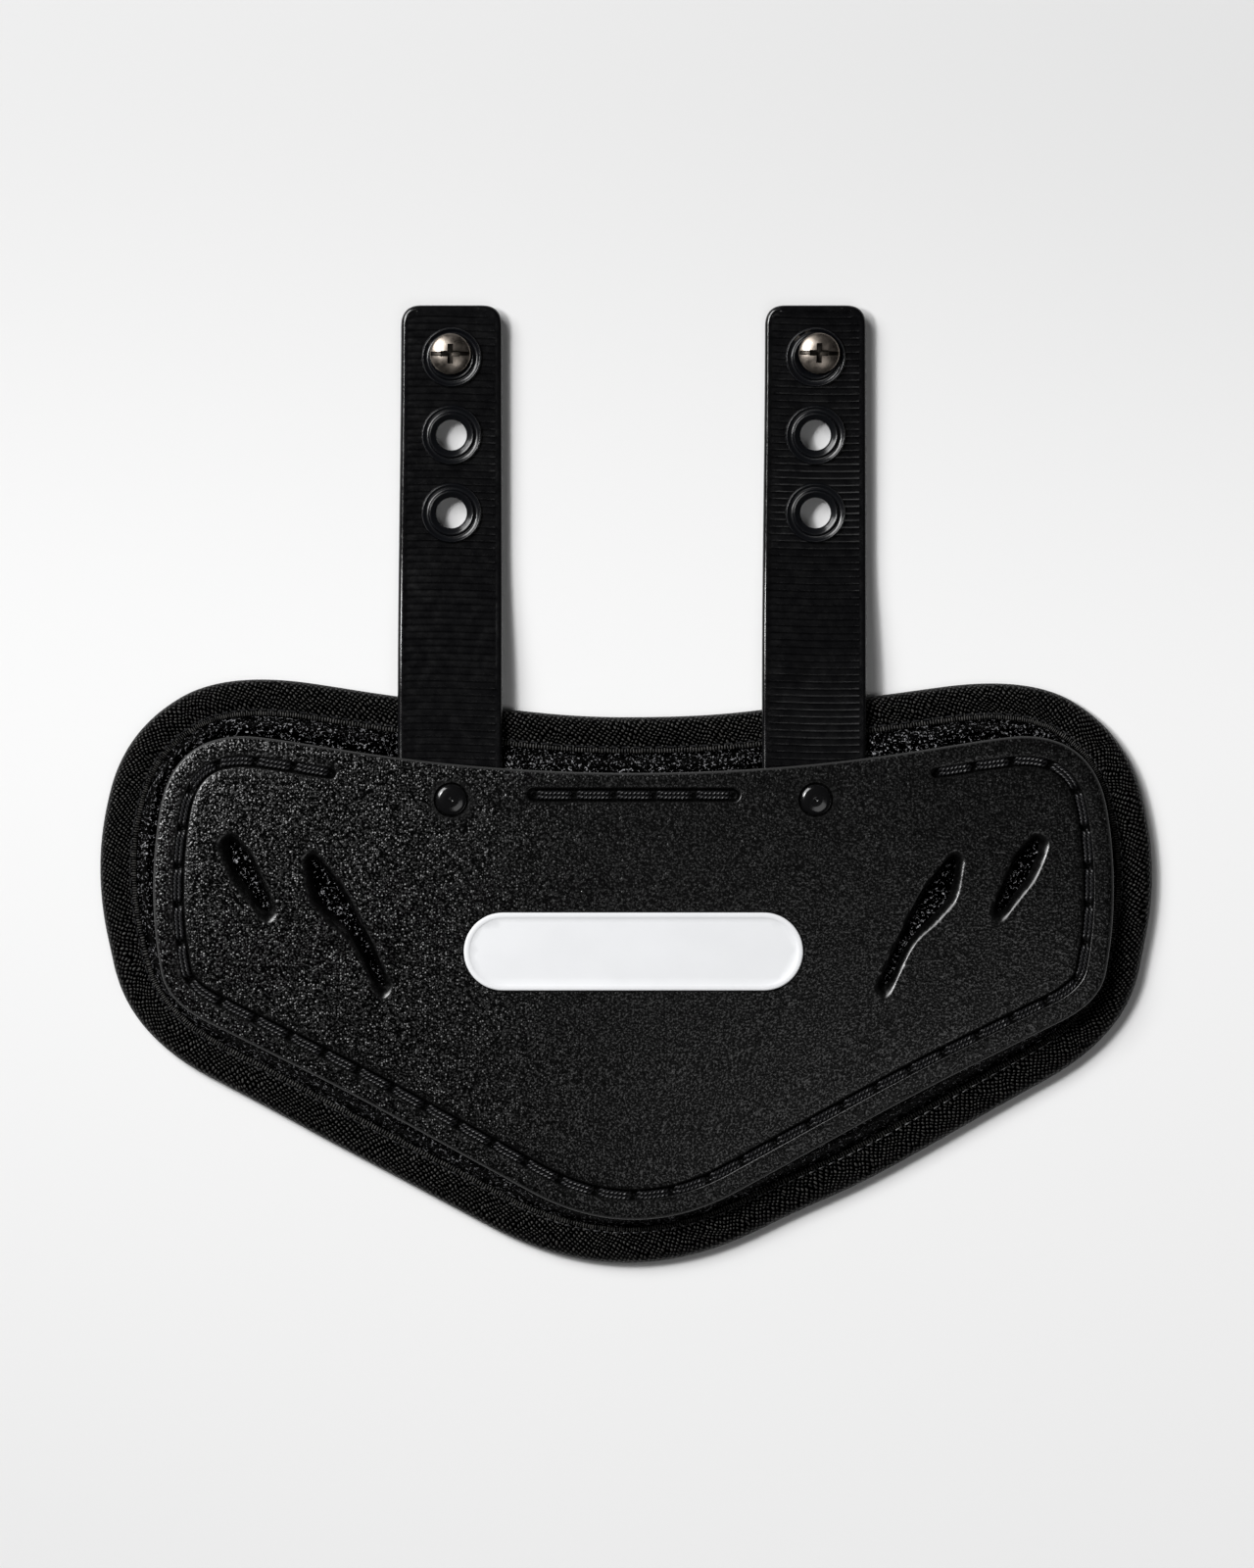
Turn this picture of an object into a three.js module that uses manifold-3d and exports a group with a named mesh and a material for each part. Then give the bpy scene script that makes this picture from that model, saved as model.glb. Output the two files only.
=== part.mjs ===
import * as THREE from 'three';
import { mergeVertices } from 'three/addons/utils/BufferGeometryUtils.js';
import Module from 'manifold-3d';

const wasm = await Module();
wasm.setup();

// Football back plate lying on its pad: millimetres, +Z up, +Y towards the strap ends.
// The plate's centre line is x = 0 and the pad's lower tip is y = 0 until the end, where the
// whole group is moved so that its origin is the middle of its footprint on the floor.

// Overall sizes
const PLATE_WIDTH = 296;
const PLATE_HEIGHT = 147.7;
const PAD_BESIDE_PLATE = 12.8;
const PAD_BELOW_PLATE = 13.8;
const PAD_ABOVE_PLATE = 16.9;
const PAD_SIDESTEP = -2;
const PLATE_THICKNESS = 2.8;
const PLATE_MIDDLE_TOP = 15.8;
const CROWN_ACROSS = 4.5;
const CROWN_ALONG = 3;
const GAP = 0.3;

// Pad and its edge binding
const BINDING_COVER = 9.4;
const BINDING_HEIGHT = 5.3;
const TAPE = 0.8;
const BINDING_ROUND = 3.2;
const PAD_SWELL = 8.5;

// Plate features
const EDGE_ROUND = 0.9;
const GROOVE_INSET = 7.8;
const GROOVE_WIDTH = 3.2;
const GROOVE_DEPTH = 1.5;
const GROOVE_END = 92.5;
const CHANNEL_LENGTH = 65.3;
const CHANNEL_WIDTH = 4.3;
const CHANNEL_BELOW_TOP = 6.8;
const OUTER_VENT_LENGTH = 29.8;
const OUTER_VENT_WIDTH = 9;
const OUTER_VENT_OUT = 124.6;
const OUTER_VENT_DOWN = 29.7;
const OUTER_VENT_LEAN = 26.3;
const INNER_VENT_LENGTH = 50;
const INNER_VENT_WIDTH = 10.5;
const INNER_VENT_OUT = 99;
const INNER_VENT_DOWN = 35.1;
const INNER_VENT_LEAN = 27;
const VENT_BEVEL = 0.6;
const BADGE_LENGTH = 104;
const BADGE_WIDTH = 24;
const BADGE_THICKNESS = 1.2;
const BADGE_DEPTH = 0.9;
const BADGE_DOWN = 65.5;

// Straps and what is fixed in them
const STRAP_WIDTH = 31.75;
const STRAP_THICKNESS = 2.8;
const STRAP_CORNER = 3.8;
const STRAP_SIDE_ROUND = 0.8;
const STRAP_SPACING = 111.6;
const STRAP_LENGTH = 164;
const STRAP_BEHIND_RIVET = 12.4;
const HOLE_PITCH = 23.85;
const HOLES = 3;
const END_TO_HOLE = 16;
const GROMMET_BORE = 9.3;
const GROMMET_FLANGE = 18.4;
const GROMMET_BACK_FLANGE = 16.6;
const GROMMET_BARREL = 12;
const GROMMET_RIM = 1.5;
const GROMMET_CREST = 1.8;
const GROMMET_CREST_DIAMETER = 13.2;
const GROMMET_BACK = 0.9;

// Rivets, screws and the nuts behind the screws
const RIVET_HEAD = 9.4;
const RIVET_DOME = 1.5;
const RIVET_SHANK = 4.4;
const RIVET_TAIL = 9;
const RIVET_TAIL_THICKNESS = 1.2;
const RIVET_BELOW_TOP = 19.1;
const COUNTERSINK = 11;
const COUNTERSINK_DEPTH = 0.8;
const SCREW_HEAD = 12.6;
const SCREW_DOME = 2.6;
const SCREW_SHANK = 3.5;
const CROSS_SPAN = 6.7;
const CROSS_ARM = 1.6;
const CROSS_DEPTH = 1.4;
const SLOT_SPAN = 11.4;
const SLOT_DEPTH = 0.7;
const NUT_FLANGE = 14;
const NUT_FLANGE_THICKNESS = 1.3;
const NUT_BARREL = 5.3;
const LEFT_SCREW_OFF = { x: -0.35, y: 1 };
const RIGHT_SCREW_OFF = { x: 1.1, y: 1.2 };

// Mesh fineness
const CORNER_STEPS = 5;
const STRAIGHT_STEP = 24;
const GRID_CELLS_ACROSS = 12;
const GRID_CELLS_ALONG = 7;
const ROUND_SIDES = 18;
const CUT_OVER = 6;

// Corners of the half outlines, from the top centre round the right side to the lower tip.
// x is a share of the half width, y of the height from the tip to the shoulders.
// before and after say how much of the edge on each side the round corner takes up.
const PAD_CORNERS = [
  { x: 0, y: 0.924, before: 0.35, after: 0.35 },
  { x: 0.771, y: 1.012, before: 0.18, after: 0.3 },
  { x: 0.954, y: 0.904, before: 0.25, after: 0.37 },
  { x: 1.017, y: 0.673, before: 0.45, after: 0.4 },
  { x: 0.952, y: 0.395, before: 0.42, after: 0.16 },
  { x: 0, y: -0.063, before: 0.276, after: 0.276 },
];
const PLATE_CORNERS = [
  { x: 0, y: 0.8795, before: 0.76, after: 0.76 },
  { x: 0.784, y: 1.004, before: 0.12, after: 0.16 },
  { x: 0.956, y: 1, before: 0.84, after: 0.47 },
  { x: 1.009, y: 0.678, before: 0.53, after: 0.72 },
  { x: 0.966, y: 0.451, before: 0.27, after: 0.22 },
  { x: 0.588, y: 0.264, before: 0.27, after: 0.17 },
  { x: 0, y: -0.06, before: 0.37, after: 0.37 },
];

// Vent outlines: along is a share of the vent's length from its upper end,
// outer and inner are shares of its half width to each side of its straight axis.
const OUTER_VENT = [
  { along: 0.03, outer: 0.75, inner: -0.45 },
  { along: 0.17, outer: 0.94, inner: -0.7 },
  { along: 0.3, outer: 1.02, inner: -0.96 },
  { along: 0.46, outer: 1.02, inner: -0.92 },
  { along: 0.65, outer: 0.76, inner: -0.87 },
  { along: 0.82, outer: 0.5, inner: -0.79 },
  { along: 0.95, outer: 0.33, inner: -0.62 },
];
const INNER_VENT = [
  { along: 0.02, outer: 0.52, inner: -0.25 },
  { along: 0.1, outer: 0.81, inner: -0.46 },
  { along: 0.2, outer: 1.12, inner: -0.67 },
  { along: 0.28, outer: 1.21, inner: -0.8 },
  { along: 0.35, outer: 1.06, inner: -0.87 },
  { along: 0.46, outer: 0.76, inner: -0.88 },
  { along: 0.55, outer: 0.41, inner: -0.85 },
  { along: 0.64, outer: 0.19, inner: -0.87 },
  { along: 0.75, outer: 0.17, inner: -0.81 },
  { along: 0.86, outer: 0.22, inner: -0.74 },
  { along: 0.96, outer: 0.26, inner: -0.64 },
];

// Side view of a strap: along is a share of its length from its hidden end,
// rise is its height above the level outer stretch as a share of the height at the rivet.
const STRAP_PATH = [
  { along: 0, rise: 1.12 },
  { along: 0.08, rise: 0.98 },
  { along: 0.15, rise: 0.8 },
  { along: 0.2, rise: 0.74 },
  { along: 0.27, rise: 0.71 },
  { along: 0.31, rise: 0.66 },
  { along: 0.37, rise: 0.5 },
  { along: 0.43, rise: 0.27 },
  { along: 0.49, rise: 0.08 },
  { along: 0.54, rise: 0 },
  { along: 0.75, rise: 0 },
];

// Places that follow from the sizes
const padWidth = PLATE_WIDTH + 2 * PAD_BESIDE_PLATE;
const padHeight = PAD_BELOW_PLATE + PLATE_HEIGHT + PAD_ABOVE_PLATE;
const plateTip = PAD_BELOW_PLATE;
const plateShoulder = plateTip + PLATE_HEIGHT;
const plateMiddle = plateTip + PLATE_HEIGHT / 2;
const topCorner = PLATE_CORNERS[0];
const shoulderCorner = PLATE_CORNERS[1];
const topDip = (shoulderCorner.y - topCorner.y) * topCorner.after / 2;
const plateTopCentre = plateTip + PLATE_HEIGHT * (topCorner.y + topDip);
const strapEndUnder = NUT_FLANGE_THICKNESS + GAP + GROMMET_BACK + GAP;
const strapEndTop = strapEndUnder + STRAP_THICKNESS;
const holeRadius = GROMMET_BARREL / 2 + GAP;
const rivetY = plateShoulder - RIVET_BELOW_TOP;
const rivetX = STRAP_SPACING / 2;
const strapHiddenEnd = rivetY - STRAP_BEHIND_RIVET;
const strapReach = strapHiddenEnd + STRAP_LENGTH;

function crownTop(x, y) {
  const across = x / (PLATE_WIDTH / 2);
  const along = (y - plateMiddle) / (PLATE_HEIGHT / 2);
  return PLATE_MIDDLE_TOP - CROWN_ACROSS * across * across - CROWN_ALONG * along * along;
}

function crownUnder(x, y) {
  return crownTop(x, y) - PLATE_THICKNESS;
}

// The strap lies level across, so its outer edge is where the crowned plate comes nearest to it.
const strapOuterEdge = rivetX + STRAP_WIDTH / 2;
const strapClimb = crownUnder(strapOuterEdge, rivetY) - GAP - STRAP_THICKNESS - strapEndUnder;

// Shapes

function outline(corners, width, height, tipY, middleX) {
  const right = corners.map((corner) => ({
    at: new THREE.Vector2(corner.x * width / 2, tipY + corner.y * height),
    before: corner.before,
    after: corner.after,
  }));
  const left = right.filter((corner) => corner.at.x > 0).reverse().map((corner) => ({
    at: new THREE.Vector2(-corner.at.x, corner.at.y),
    before: corner.after,
    after: corner.before,
  }));
  const around = [...right, ...left];
  const points = [];
  around.forEach((corner, index) => {
    const last = around.at(index - 1);
    const next = around[(index + 1) % around.length];
    const start = corner.at.clone().lerp(last.at, corner.before);
    const end = corner.at.clone().lerp(next.at, corner.after);
    const nextStart = next.at.clone().lerp(corner.at, next.before);
    const bend = new THREE.QuadraticBezierCurve(start, corner.at, end);
    const straight = new THREE.LineCurve(end, nextStart);
    const cuts = Math.ceil(straight.getLength() / STRAIGHT_STEP);
    points.push(...bend.getPoints(CORNER_STEPS));
    points.push(...straight.getPoints(cuts).slice(1, -1));
  });
  const apart = points.filter((point, index) => point.distanceTo(points.at(index - 1)) > EDGE_ROUND);
  return apart.reverse().map((point) => new THREE.Vector2(point.x + middleX, point.y));
}

// The outline moved inwards, each point along its own ray to a spine, so that rings never cross.
function insetBy(points, inset, spine) {
  return points.map((point, index) => {
    const before = points.at(index - 1);
    const after = points[(index + 1) % points.length];
    const tangent = after.clone().sub(before).normalize();
    const inwards = new THREE.Vector2(-tangent.y, tangent.x);
    const footX = THREE.MathUtils.clamp(point.x, spine.x - spine.half, spine.x + spine.half);
    const ray = new THREE.Vector2(footX, spine.y).sub(point).normalize();
    return point.clone().addScaledVector(ray, inset / ray.dot(inwards));
  });
}

function ringAt(points, height) {
  const heightAt = typeof height === 'function' ? height : () => height;
  return points.map((point) => new THREE.Vector3(point.x, point.y, heightAt(point.x, point.y)));
}

function fromTriangles(vertices, triangles) {
  const geometry = new THREE.BufferGeometry();
  const flat = vertices.flatMap((vertex) => vertex.toArray());
  geometry.setAttribute('position', new THREE.Float32BufferAttribute(flat, 3));
  geometry.setIndex(triangles.flat());
  return geometry;
}

// A skin over rings of equally many points. Open lofts get a cap at each end, and closed ones
// join their last ring to their first.
function loft(rings, { closed = false } = {}) {
  const count = rings[0].length;
  const vertices = rings.flat();
  const triangles = [];
  const bands = closed ? rings.length : rings.length - 1;
  for (let band = 0; band < bands; band += 1) {
    const low = band * count;
    const high = ((band + 1) % rings.length) * count;
    for (let i = 0; i < count; i += 1) {
      const j = (i + 1) % count;
      triangles.push([low + i, low + j, high + j], [low + i, high + j, high + i]);
    }
  }
  if (!closed) {
    const top = (rings.length - 1) * count;
    const flatten = planeOf(rings[0]);
    THREE.ShapeUtils.triangulateShape(rings[0].map(flatten), []).forEach(([a, b, c]) => {
      triangles.push([a, c, b]);
    });
    THREE.ShapeUtils.triangulateShape(rings.at(-1).map(flatten), []).forEach(([a, b, c]) => {
      triangles.push([top + a, top + b, top + c]);
    });
  }
  return fromTriangles(vertices, triangles);
}

// Rings that go round the Z axis are flattened on XY, and those along Y on ZX.
function planeOf(ring) {
  const box = new THREE.Box3().setFromPoints(ring);
  const size = box.getSize(new THREE.Vector3());
  const alongY = size.y < Math.min(size.x, size.z);
  return (point) => (alongY ? new THREE.Vector2(point.z, point.x) : new THREE.Vector2(point.x, point.y));
}

// A slab on a rectangular grid, between two heights that vary over it.
function slab(under, top) {
  const half = padWidth / 2 + CUT_OVER;
  const low = -CUT_OVER;
  const high = padHeight + CUT_OVER;
  const row = GRID_CELLS_ACROSS + 1;
  const vertices = [];
  [under, top].forEach((height) => {
    for (let j = 0; j <= GRID_CELLS_ALONG; j += 1) {
      for (let i = 0; i < row; i += 1) {
        const x = PAD_SIDESTEP - half + 2 * half * i / GRID_CELLS_ACROSS;
        const y = low + (high - low) * j / GRID_CELLS_ALONG;
        vertices.push(new THREE.Vector3(x, y, height(x, y)));
      }
    }
  });
  const layer = row * (GRID_CELLS_ALONG + 1);
  const triangles = [];
  for (let j = 0; j < GRID_CELLS_ALONG; j += 1) {
    for (let i = 0; i < GRID_CELLS_ACROSS; i += 1) {
      const a = j * row + i;
      const b = a + row;
      triangles.push([a, b, a + 1], [b, b + 1, a + 1]);
      triangles.push([layer + a, layer + a + 1, layer + b], [layer + b, layer + a + 1, layer + b + 1]);
    }
  }
  const rim = [];
  for (let i = 0; i < GRID_CELLS_ACROSS; i += 1) rim.push(i);
  for (let j = 0; j < GRID_CELLS_ALONG; j += 1) rim.push(j * row + GRID_CELLS_ACROSS);
  for (let i = GRID_CELLS_ACROSS; i > 0; i -= 1) rim.push(GRID_CELLS_ALONG * row + i);
  for (let j = GRID_CELLS_ALONG; j > 0; j -= 1) rim.push(j * row);
  rim.forEach((a, index) => {
    const b = rim[(index + 1) % rim.length];
    triangles.push([a, b, layer + b], [a, layer + b, layer + a]);
  });
  return fromTriangles(vertices, triangles);
}

// A straight-sided block over a flat outline.
function prism(points, under, top) {
  return loft([ringAt(points, under), ringAt(points, top)]);
}

function stadium(length, width, centre) {
  const shape = new THREE.Shape();
  const straight = (length - width) / 2;
  shape.absarc(centre.x + straight, centre.y, width / 2, -Math.PI / 2, Math.PI / 2);
  shape.absarc(centre.x - straight, centre.y, width / 2, Math.PI / 2, 1.5 * Math.PI);
  const points = shape.getPoints(ROUND_SIDES / 2);
  return points.filter((point, index) => point.distanceTo(points.at(index - 1)) > 0.01);
}

function circle(radius, centre, sides = ROUND_SIDES) {
  return Array.from({ length: sides }, (_, i) => {
    const angle = 2 * Math.PI * i / sides;
    return new THREE.Vector2(centre.x + radius * Math.cos(angle), centre.y + radius * Math.sin(angle));
  });
}

// A turned piece: its profile runs from its lowest point, outside first, and closes on itself
// or on the axis.
function turned(profile, centre, baseZ) {
  const points = profile.map(([radius, height]) => new THREE.Vector2(radius, height));
  const geometry = new THREE.LatheGeometry(points, ROUND_SIDES);
  geometry.rotateX(Math.PI / 2);
  geometry.translate(centre.x, centre.y, baseZ);
  return geometry;
}

// Solids for cutting and joining

function solidOf(geometry) {
  const bare = geometry.clone();
  bare.deleteAttribute('normal');
  bare.deleteAttribute('uv');
  const merged = mergeVertices(bare, 1e-4);
  const index = merged.index.array;
  const triVerts = [];
  for (let i = 0; i < index.length; i += 3) {
    const [a, b, c] = [index[i], index[i + 1], index[i + 2]];
    if (a !== b && b !== c && c !== a) triVerts.push(a, b, c);
  }
  return new wasm.Manifold(new wasm.Mesh({
    numProp: 3,
    vertProperties: new Float32Array(merged.attributes.position.array),
    triVerts: new Uint32Array(triVerts),
  }));
}

function geometryOf(solid) {
  const mesh = solid.getMesh();
  const geometry = new THREE.BufferGeometry();
  geometry.setAttribute('position', new THREE.BufferAttribute(mesh.vertProperties, 3));
  geometry.setIndex(new THREE.BufferAttribute(mesh.triVerts, 1));
  return geometry;
}

function cutAway(solid, geometries) {
  return geometries.reduce((rest, geometry) => rest.subtract(solidOf(geometry)), solid);
}

// The two outlines and their spines
const padSpine = { x: PAD_SIDESTEP, y: padHeight * 0.57, half: padWidth * 0.25 };
const plateSpine = { x: 0, y: plateTip + PLATE_HEIGHT * 0.6, half: PLATE_WIDTH * 0.27 };
const padOutline = outline(PAD_CORNERS, padWidth, padHeight, 0, PAD_SIDESTEP);
const plateOutline = outline(PLATE_CORNERS, PLATE_WIDTH, PLATE_HEIGHT, plateTip, 0);

// Edge binding: a folded tape of even thickness that hugs the pad's edge.
function makeBinding() {
  const half = BINDING_HEIGHT / 2;
  const round = BINDING_ROUND;
  const top = BINDING_HEIGHT;
  const profile = [
    { inset: BINDING_COVER, z: 0 },
    { inset: round, z: 0 },
    { inset: round * 0.3, z: half * 0.3 },
    { inset: 0, z: half },
    { inset: round * 0.3, z: top - half * 0.3 },
    { inset: round, z: top },
    { inset: BINDING_COVER, z: top - TAPE / 4 },
    { inset: BINDING_COVER, z: top - TAPE * 1.25 },
    { inset: round + TAPE / 2, z: top - TAPE },
    { inset: TAPE, z: half },
    { inset: round + TAPE / 2, z: TAPE },
    { inset: BINDING_COVER, z: TAPE },
  ];
  const rings = profile.map(({ inset, z }) => ringAt(insetBy(padOutline, inset, padSpine), z));
  return loft(rings, { closed: true });
}

// Pad: its thin edge sits in the binding and the rest swells up to the underside of the plate.
function padTop(x, y) {
  return crownUnder(x, y) - GAP;
}

function makePad() {
  const inTape = TAPE + GAP;
  const freeEdge = BINDING_COVER + GAP;
  const rise = PLATE_MIDDLE_TOP;
  const bound = BINDING_HEIGHT - inTape;
  const profile = [
    { inset: freeEdge, z: 0 },
    { inset: freeEdge, z: inTape },
    { inset: BINDING_ROUND + inTape, z: inTape },
    { inset: inTape + GAP, z: BINDING_HEIGHT / 2 },
    { inset: BINDING_ROUND + inTape, z: bound },
    { inset: freeEdge, z: bound - TAPE / 4 },
    { inset: freeEdge + GAP, z: BINDING_HEIGHT - GAP },
    { inset: freeEdge + PAD_SWELL * 0.3, z: BINDING_HEIGHT + rise * 0.13 },
    { inset: freeEdge + PAD_SWELL * 0.65, z: BINDING_HEIGHT + rise * 0.25 },
    { inset: freeEdge + PAD_SWELL, z: BINDING_HEIGHT + rise * 0.33 },
    { inset: freeEdge + PAD_SWELL * 2.5, z: BINDING_HEIGHT + rise },
  ];
  const rings = profile.map(({ inset, z }) => ringAt(insetBy(padOutline, inset, padSpine), z));
  const swollen = solidOf(loft(rings));
  const below = solidOf(slab(() => -CUT_OVER, padTop));
  return cutAway(swollen.intersect(below), [
    ...[-1, 1].map((side) => strapBody(side * rivetX, GAP, { under: GAP, top: rise })),
    ...[-1, 1].map((side) => {
      const pocket = circle(RIVET_TAIL / 2 + GAP, { x: side * rivetX, y: rivetY });
      const pocketUnder = strapUnder(rivetY) - GAP - RIVET_TAIL_THICKNESS - GAP;
      return prism(pocket, pocketUnder, rise);
    }),
  ]);
}

// Plate: a crowned sheet with a rounded edge, a groove for its stitching, four vents,
// two countersunk rivet holes, a short channel at the top and a shallow seat for the badge.
function makePlate() {
  const sheet = solidOf(slab(crownUnder, crownTop));
  const roundTop = (x, y) => crownTop(x, y) - EDGE_ROUND;
  const blank = solidOf(loft([
    ringAt(plateOutline, 0),
    ringAt(plateOutline, roundTop),
    ringAt(insetBy(plateOutline, EDGE_ROUND, plateSpine), crownTop),
    ringAt(insetBy(plateOutline, EDGE_ROUND * 1.5, plateSpine), PLATE_MIDDLE_TOP + CUT_OVER),
  ]));
  const cuts = [grooveCut(), channelCut(), badgeSeatCut()];
  [-1, 1].forEach((side) => {
    cuts.push(...ventCuts(OUTER_VENT, outerVentPlace(side)));
    cuts.push(...ventCuts(INNER_VENT, innerVentPlace(side)));
    cuts.push(...rivetCuts(side));
  });
  return cutAway(sheet.intersect(blank), cuts);
}

function grooveCut() {
  const outer = insetBy(plateOutline, GROOVE_INSET - GROOVE_WIDTH / 2, plateSpine);
  const inner = insetBy(plateOutline, GROOVE_INSET + GROOVE_WIDTH / 2, plateSpine);
  const count = plateOutline.length;
  const isTop = (point) => point.y > plateMiddle && Math.abs(point.x) < GROOVE_END;
  const kept = outer.map((point, index) => index).filter((index) => !isTop(outer[index]));
  const firstKept = kept.find((index) => isTop(outer[(index - 1 + count) % count]));
  const order = kept.map((_, step) => (firstKept + step) % count);
  const stations = order.map((index) => ({ out: outer[index], in: inner[index] }));
  const startSide = Math.sign(stations[0].out.x);
  const toEnd = (station, side) => {
    const shift = side * GROOVE_END - station.out.x;
    const slope = (shoulderCorner.y - topCorner.y) * PLATE_HEIGHT / (PLATE_WIDTH / 2 * shoulderCorner.x);
    const move = new THREE.Vector2(shift, shift * side * slope);
    return { out: station.out.clone().add(move), in: station.in.clone().add(move) };
  };
  stations.unshift(toEnd(stations[0], startSide));
  stations.push(toEnd(stations.at(-1), -startSide));
  const floor = (x, y) => crownTop(x, y) - GROOVE_DEPTH;
  const rings = stations.map((station) => [
    new THREE.Vector3(station.out.x, station.out.y, floor(station.out.x, station.out.y)),
    new THREE.Vector3(station.out.x, station.out.y, PLATE_MIDDLE_TOP + CUT_OVER),
    new THREE.Vector3(station.in.x, station.in.y, PLATE_MIDDLE_TOP + CUT_OVER),
    new THREE.Vector3(station.in.x, station.in.y, floor(station.in.x, station.in.y)),
  ]);
  return tube(rings);
}

// A bar over four-cornered sections, with both ends closed.
function tube(sections) {
  const vertices = sections.flat();
  const triangles = [];
  const sides = sections[0].length;
  for (let k = 0; k < sections.length - 1; k += 1) {
    for (let i = 0; i < sides; i += 1) {
      const j = (i + 1) % sides;
      const a = k * sides;
      const b = a + sides;
      triangles.push([a + i, b + i, b + j], [a + i, b + j, a + j]);
    }
  }
  const end = (sections.length - 1) * sides;
  for (let i = 1; i < sides - 1; i += 1) {
    triangles.push([0, i, i + 1], [end, end + i + 1, end + i]);
  }
  return fromTriangles(vertices, triangles);
}

function channelCut() {
  const centre = { x: 0, y: plateTopCentre - CHANNEL_BELOW_TOP };
  const floor = crownTop(0, centre.y) - GROOVE_DEPTH;
  return prism(stadium(CHANNEL_LENGTH, CHANNEL_WIDTH, centre), floor, PLATE_MIDDLE_TOP + CUT_OVER);
}

function badgePlace() {
  return { x: 0, y: plateShoulder - BADGE_DOWN };
}

function badgeSeat(x, y) {
  return crownTop(x, y) - BADGE_DEPTH;
}

function badgeSeatCut() {
  const points = stadium(BADGE_LENGTH + 2 * GAP, BADGE_WIDTH + 2 * GAP, badgePlace());
  const under = (x, y) => badgeSeat(x, y);
  const lowest = solidOf(slab(under, () => PLATE_MIDDLE_TOP + CUT_OVER));
  const above = solidOf(prism(points, 0, PLATE_MIDDLE_TOP + CUT_OVER / 2));
  return geometryOf(lowest.intersect(above));
}

function makeBadge() {
  const sheetUnder = (x, y) => badgeSeat(x, y) + GAP;
  const sheetTop = (x, y) => badgeSeat(x, y) + GAP + BADGE_THICKNESS;
  const sheet = solidOf(slab(sheetUnder, sheetTop));
  const sides = prism(stadium(BADGE_LENGTH, BADGE_WIDTH, badgePlace()), 0, PLATE_MIDDLE_TOP + CUT_OVER);
  return sheet.intersect(solidOf(sides));
}

function outerVentPlace(side) {
  return {
    x: side * OUTER_VENT_OUT,
    y: plateShoulder - OUTER_VENT_DOWN,
    side,
    lean: THREE.MathUtils.degToRad(OUTER_VENT_LEAN),
    length: OUTER_VENT_LENGTH,
    width: OUTER_VENT_WIDTH,
  };
}

function innerVentPlace(side) {
  return {
    x: side * INNER_VENT_OUT,
    y: plateShoulder - INNER_VENT_DOWN,
    side,
    lean: THREE.MathUtils.degToRad(INNER_VENT_LEAN),
    length: INNER_VENT_LENGTH,
    width: INNER_VENT_WIDTH,
  };
}

function ventOutline(table, place, grow) {
  const half = place.width / 2;
  const rows = [
    { along: 0, across: 0 },
    ...table.map(({ along, outer }) => ({ along, across: outer })),
    { along: 1, across: 0 },
    ...table.map(({ along, inner }) => ({ along, across: inner })).reverse(),
  ];
  const down = new THREE.Vector2(-place.side * Math.sin(place.lean), -Math.cos(place.lean));
  const out = new THREE.Vector2(place.side * Math.cos(place.lean), -Math.sin(place.lean));
  const points = rows.map(({ along, across }) => {
    const at = new THREE.Vector2(place.x, place.y);
    at.addScaledVector(down, along * place.length + grow * (2 * along - 1));
    return at.addScaledVector(out, across * half + grow * Math.sign(across));
  });
  return THREE.ShapeUtils.isClockWise(points) ? points.reverse() : points;
}

function ventCuts(table, place) {
  const bare = ventOutline(table, place, 0);
  const wide = ventOutline(table, place, VENT_BEVEL);
  const bevelled = loft([
    ringAt(bare, (x, y) => crownTop(x, y) - VENT_BEVEL),
    ringAt(wide, crownTop),
    ringAt(wide, PLATE_MIDDLE_TOP + CUT_OVER),
  ]);
  return [prism(bare, 0, PLATE_MIDDLE_TOP + CUT_OVER), bevelled];
}

function rivetCuts(side) {
  const centre = { x: side * rivetX, y: rivetY };
  const seat = crownTop(centre.x, centre.y) - COUNTERSINK_DEPTH;
  return [
    prism(circle(COUNTERSINK / 2, centre), seat, PLATE_MIDDLE_TOP + CUT_OVER),
    prism(circle(RIVET_SHANK / 2 + GAP, centre), 0, PLATE_MIDDLE_TOP),
  ];
}

// Straps

function strapUnder(y) {
  const along = (y - strapHiddenEnd) / STRAP_LENGTH;
  const next = STRAP_PATH.findIndex((row) => row.along > along);
  if (next < 1) return strapEndUnder + strapClimb * (next < 0 ? 0 : STRAP_PATH[0].rise);
  const low = STRAP_PATH[next - 1];
  const high = STRAP_PATH[next];
  const share = (along - low.along) / (high.along - low.along);
  return strapEndUnder + strapClimb * THREE.MathUtils.lerp(low.rise, high.rise, share);
}

// A strap as a row of sections along Y, or the room it needs when it is grown by a clearance.
function strapBody(x, grow, { under = 0, top = 0 } = {}) {
  const ys = STRAP_PATH.map(({ along }) => strapHiddenEnd + along * STRAP_LENGTH);
  const half = STRAP_WIDTH / 2;
  const rows = ys.map((y) => ({ y, half }));
  for (let i = 0; i <= 3; i += 1) {
    const angle = Math.PI / 2 * i / 3;
    const y = strapReach - STRAP_CORNER + STRAP_CORNER * Math.sin(angle);
    rows.push({ y, half: half - STRAP_CORNER * (1 - Math.cos(angle)) });
  }
  rows[0].y -= grow;
  const side = STRAP_SIDE_ROUND;
  return tube(rows.map((row) => {
    const low = strapUnder(row.y) - under;
    const high = strapUnder(row.y) + STRAP_THICKNESS + top;
    const wide = row.half + grow;
    return [
      [wide - side, low], [wide, low + side], [wide, high - side], [wide - side, high],
      [-wide + side, high], [-wide, high - side], [-wide, low + side], [-wide + side, low],
    ].map(([acrossX, z]) => new THREE.Vector3(x + acrossX, row.y, z));
  }));
}

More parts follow.
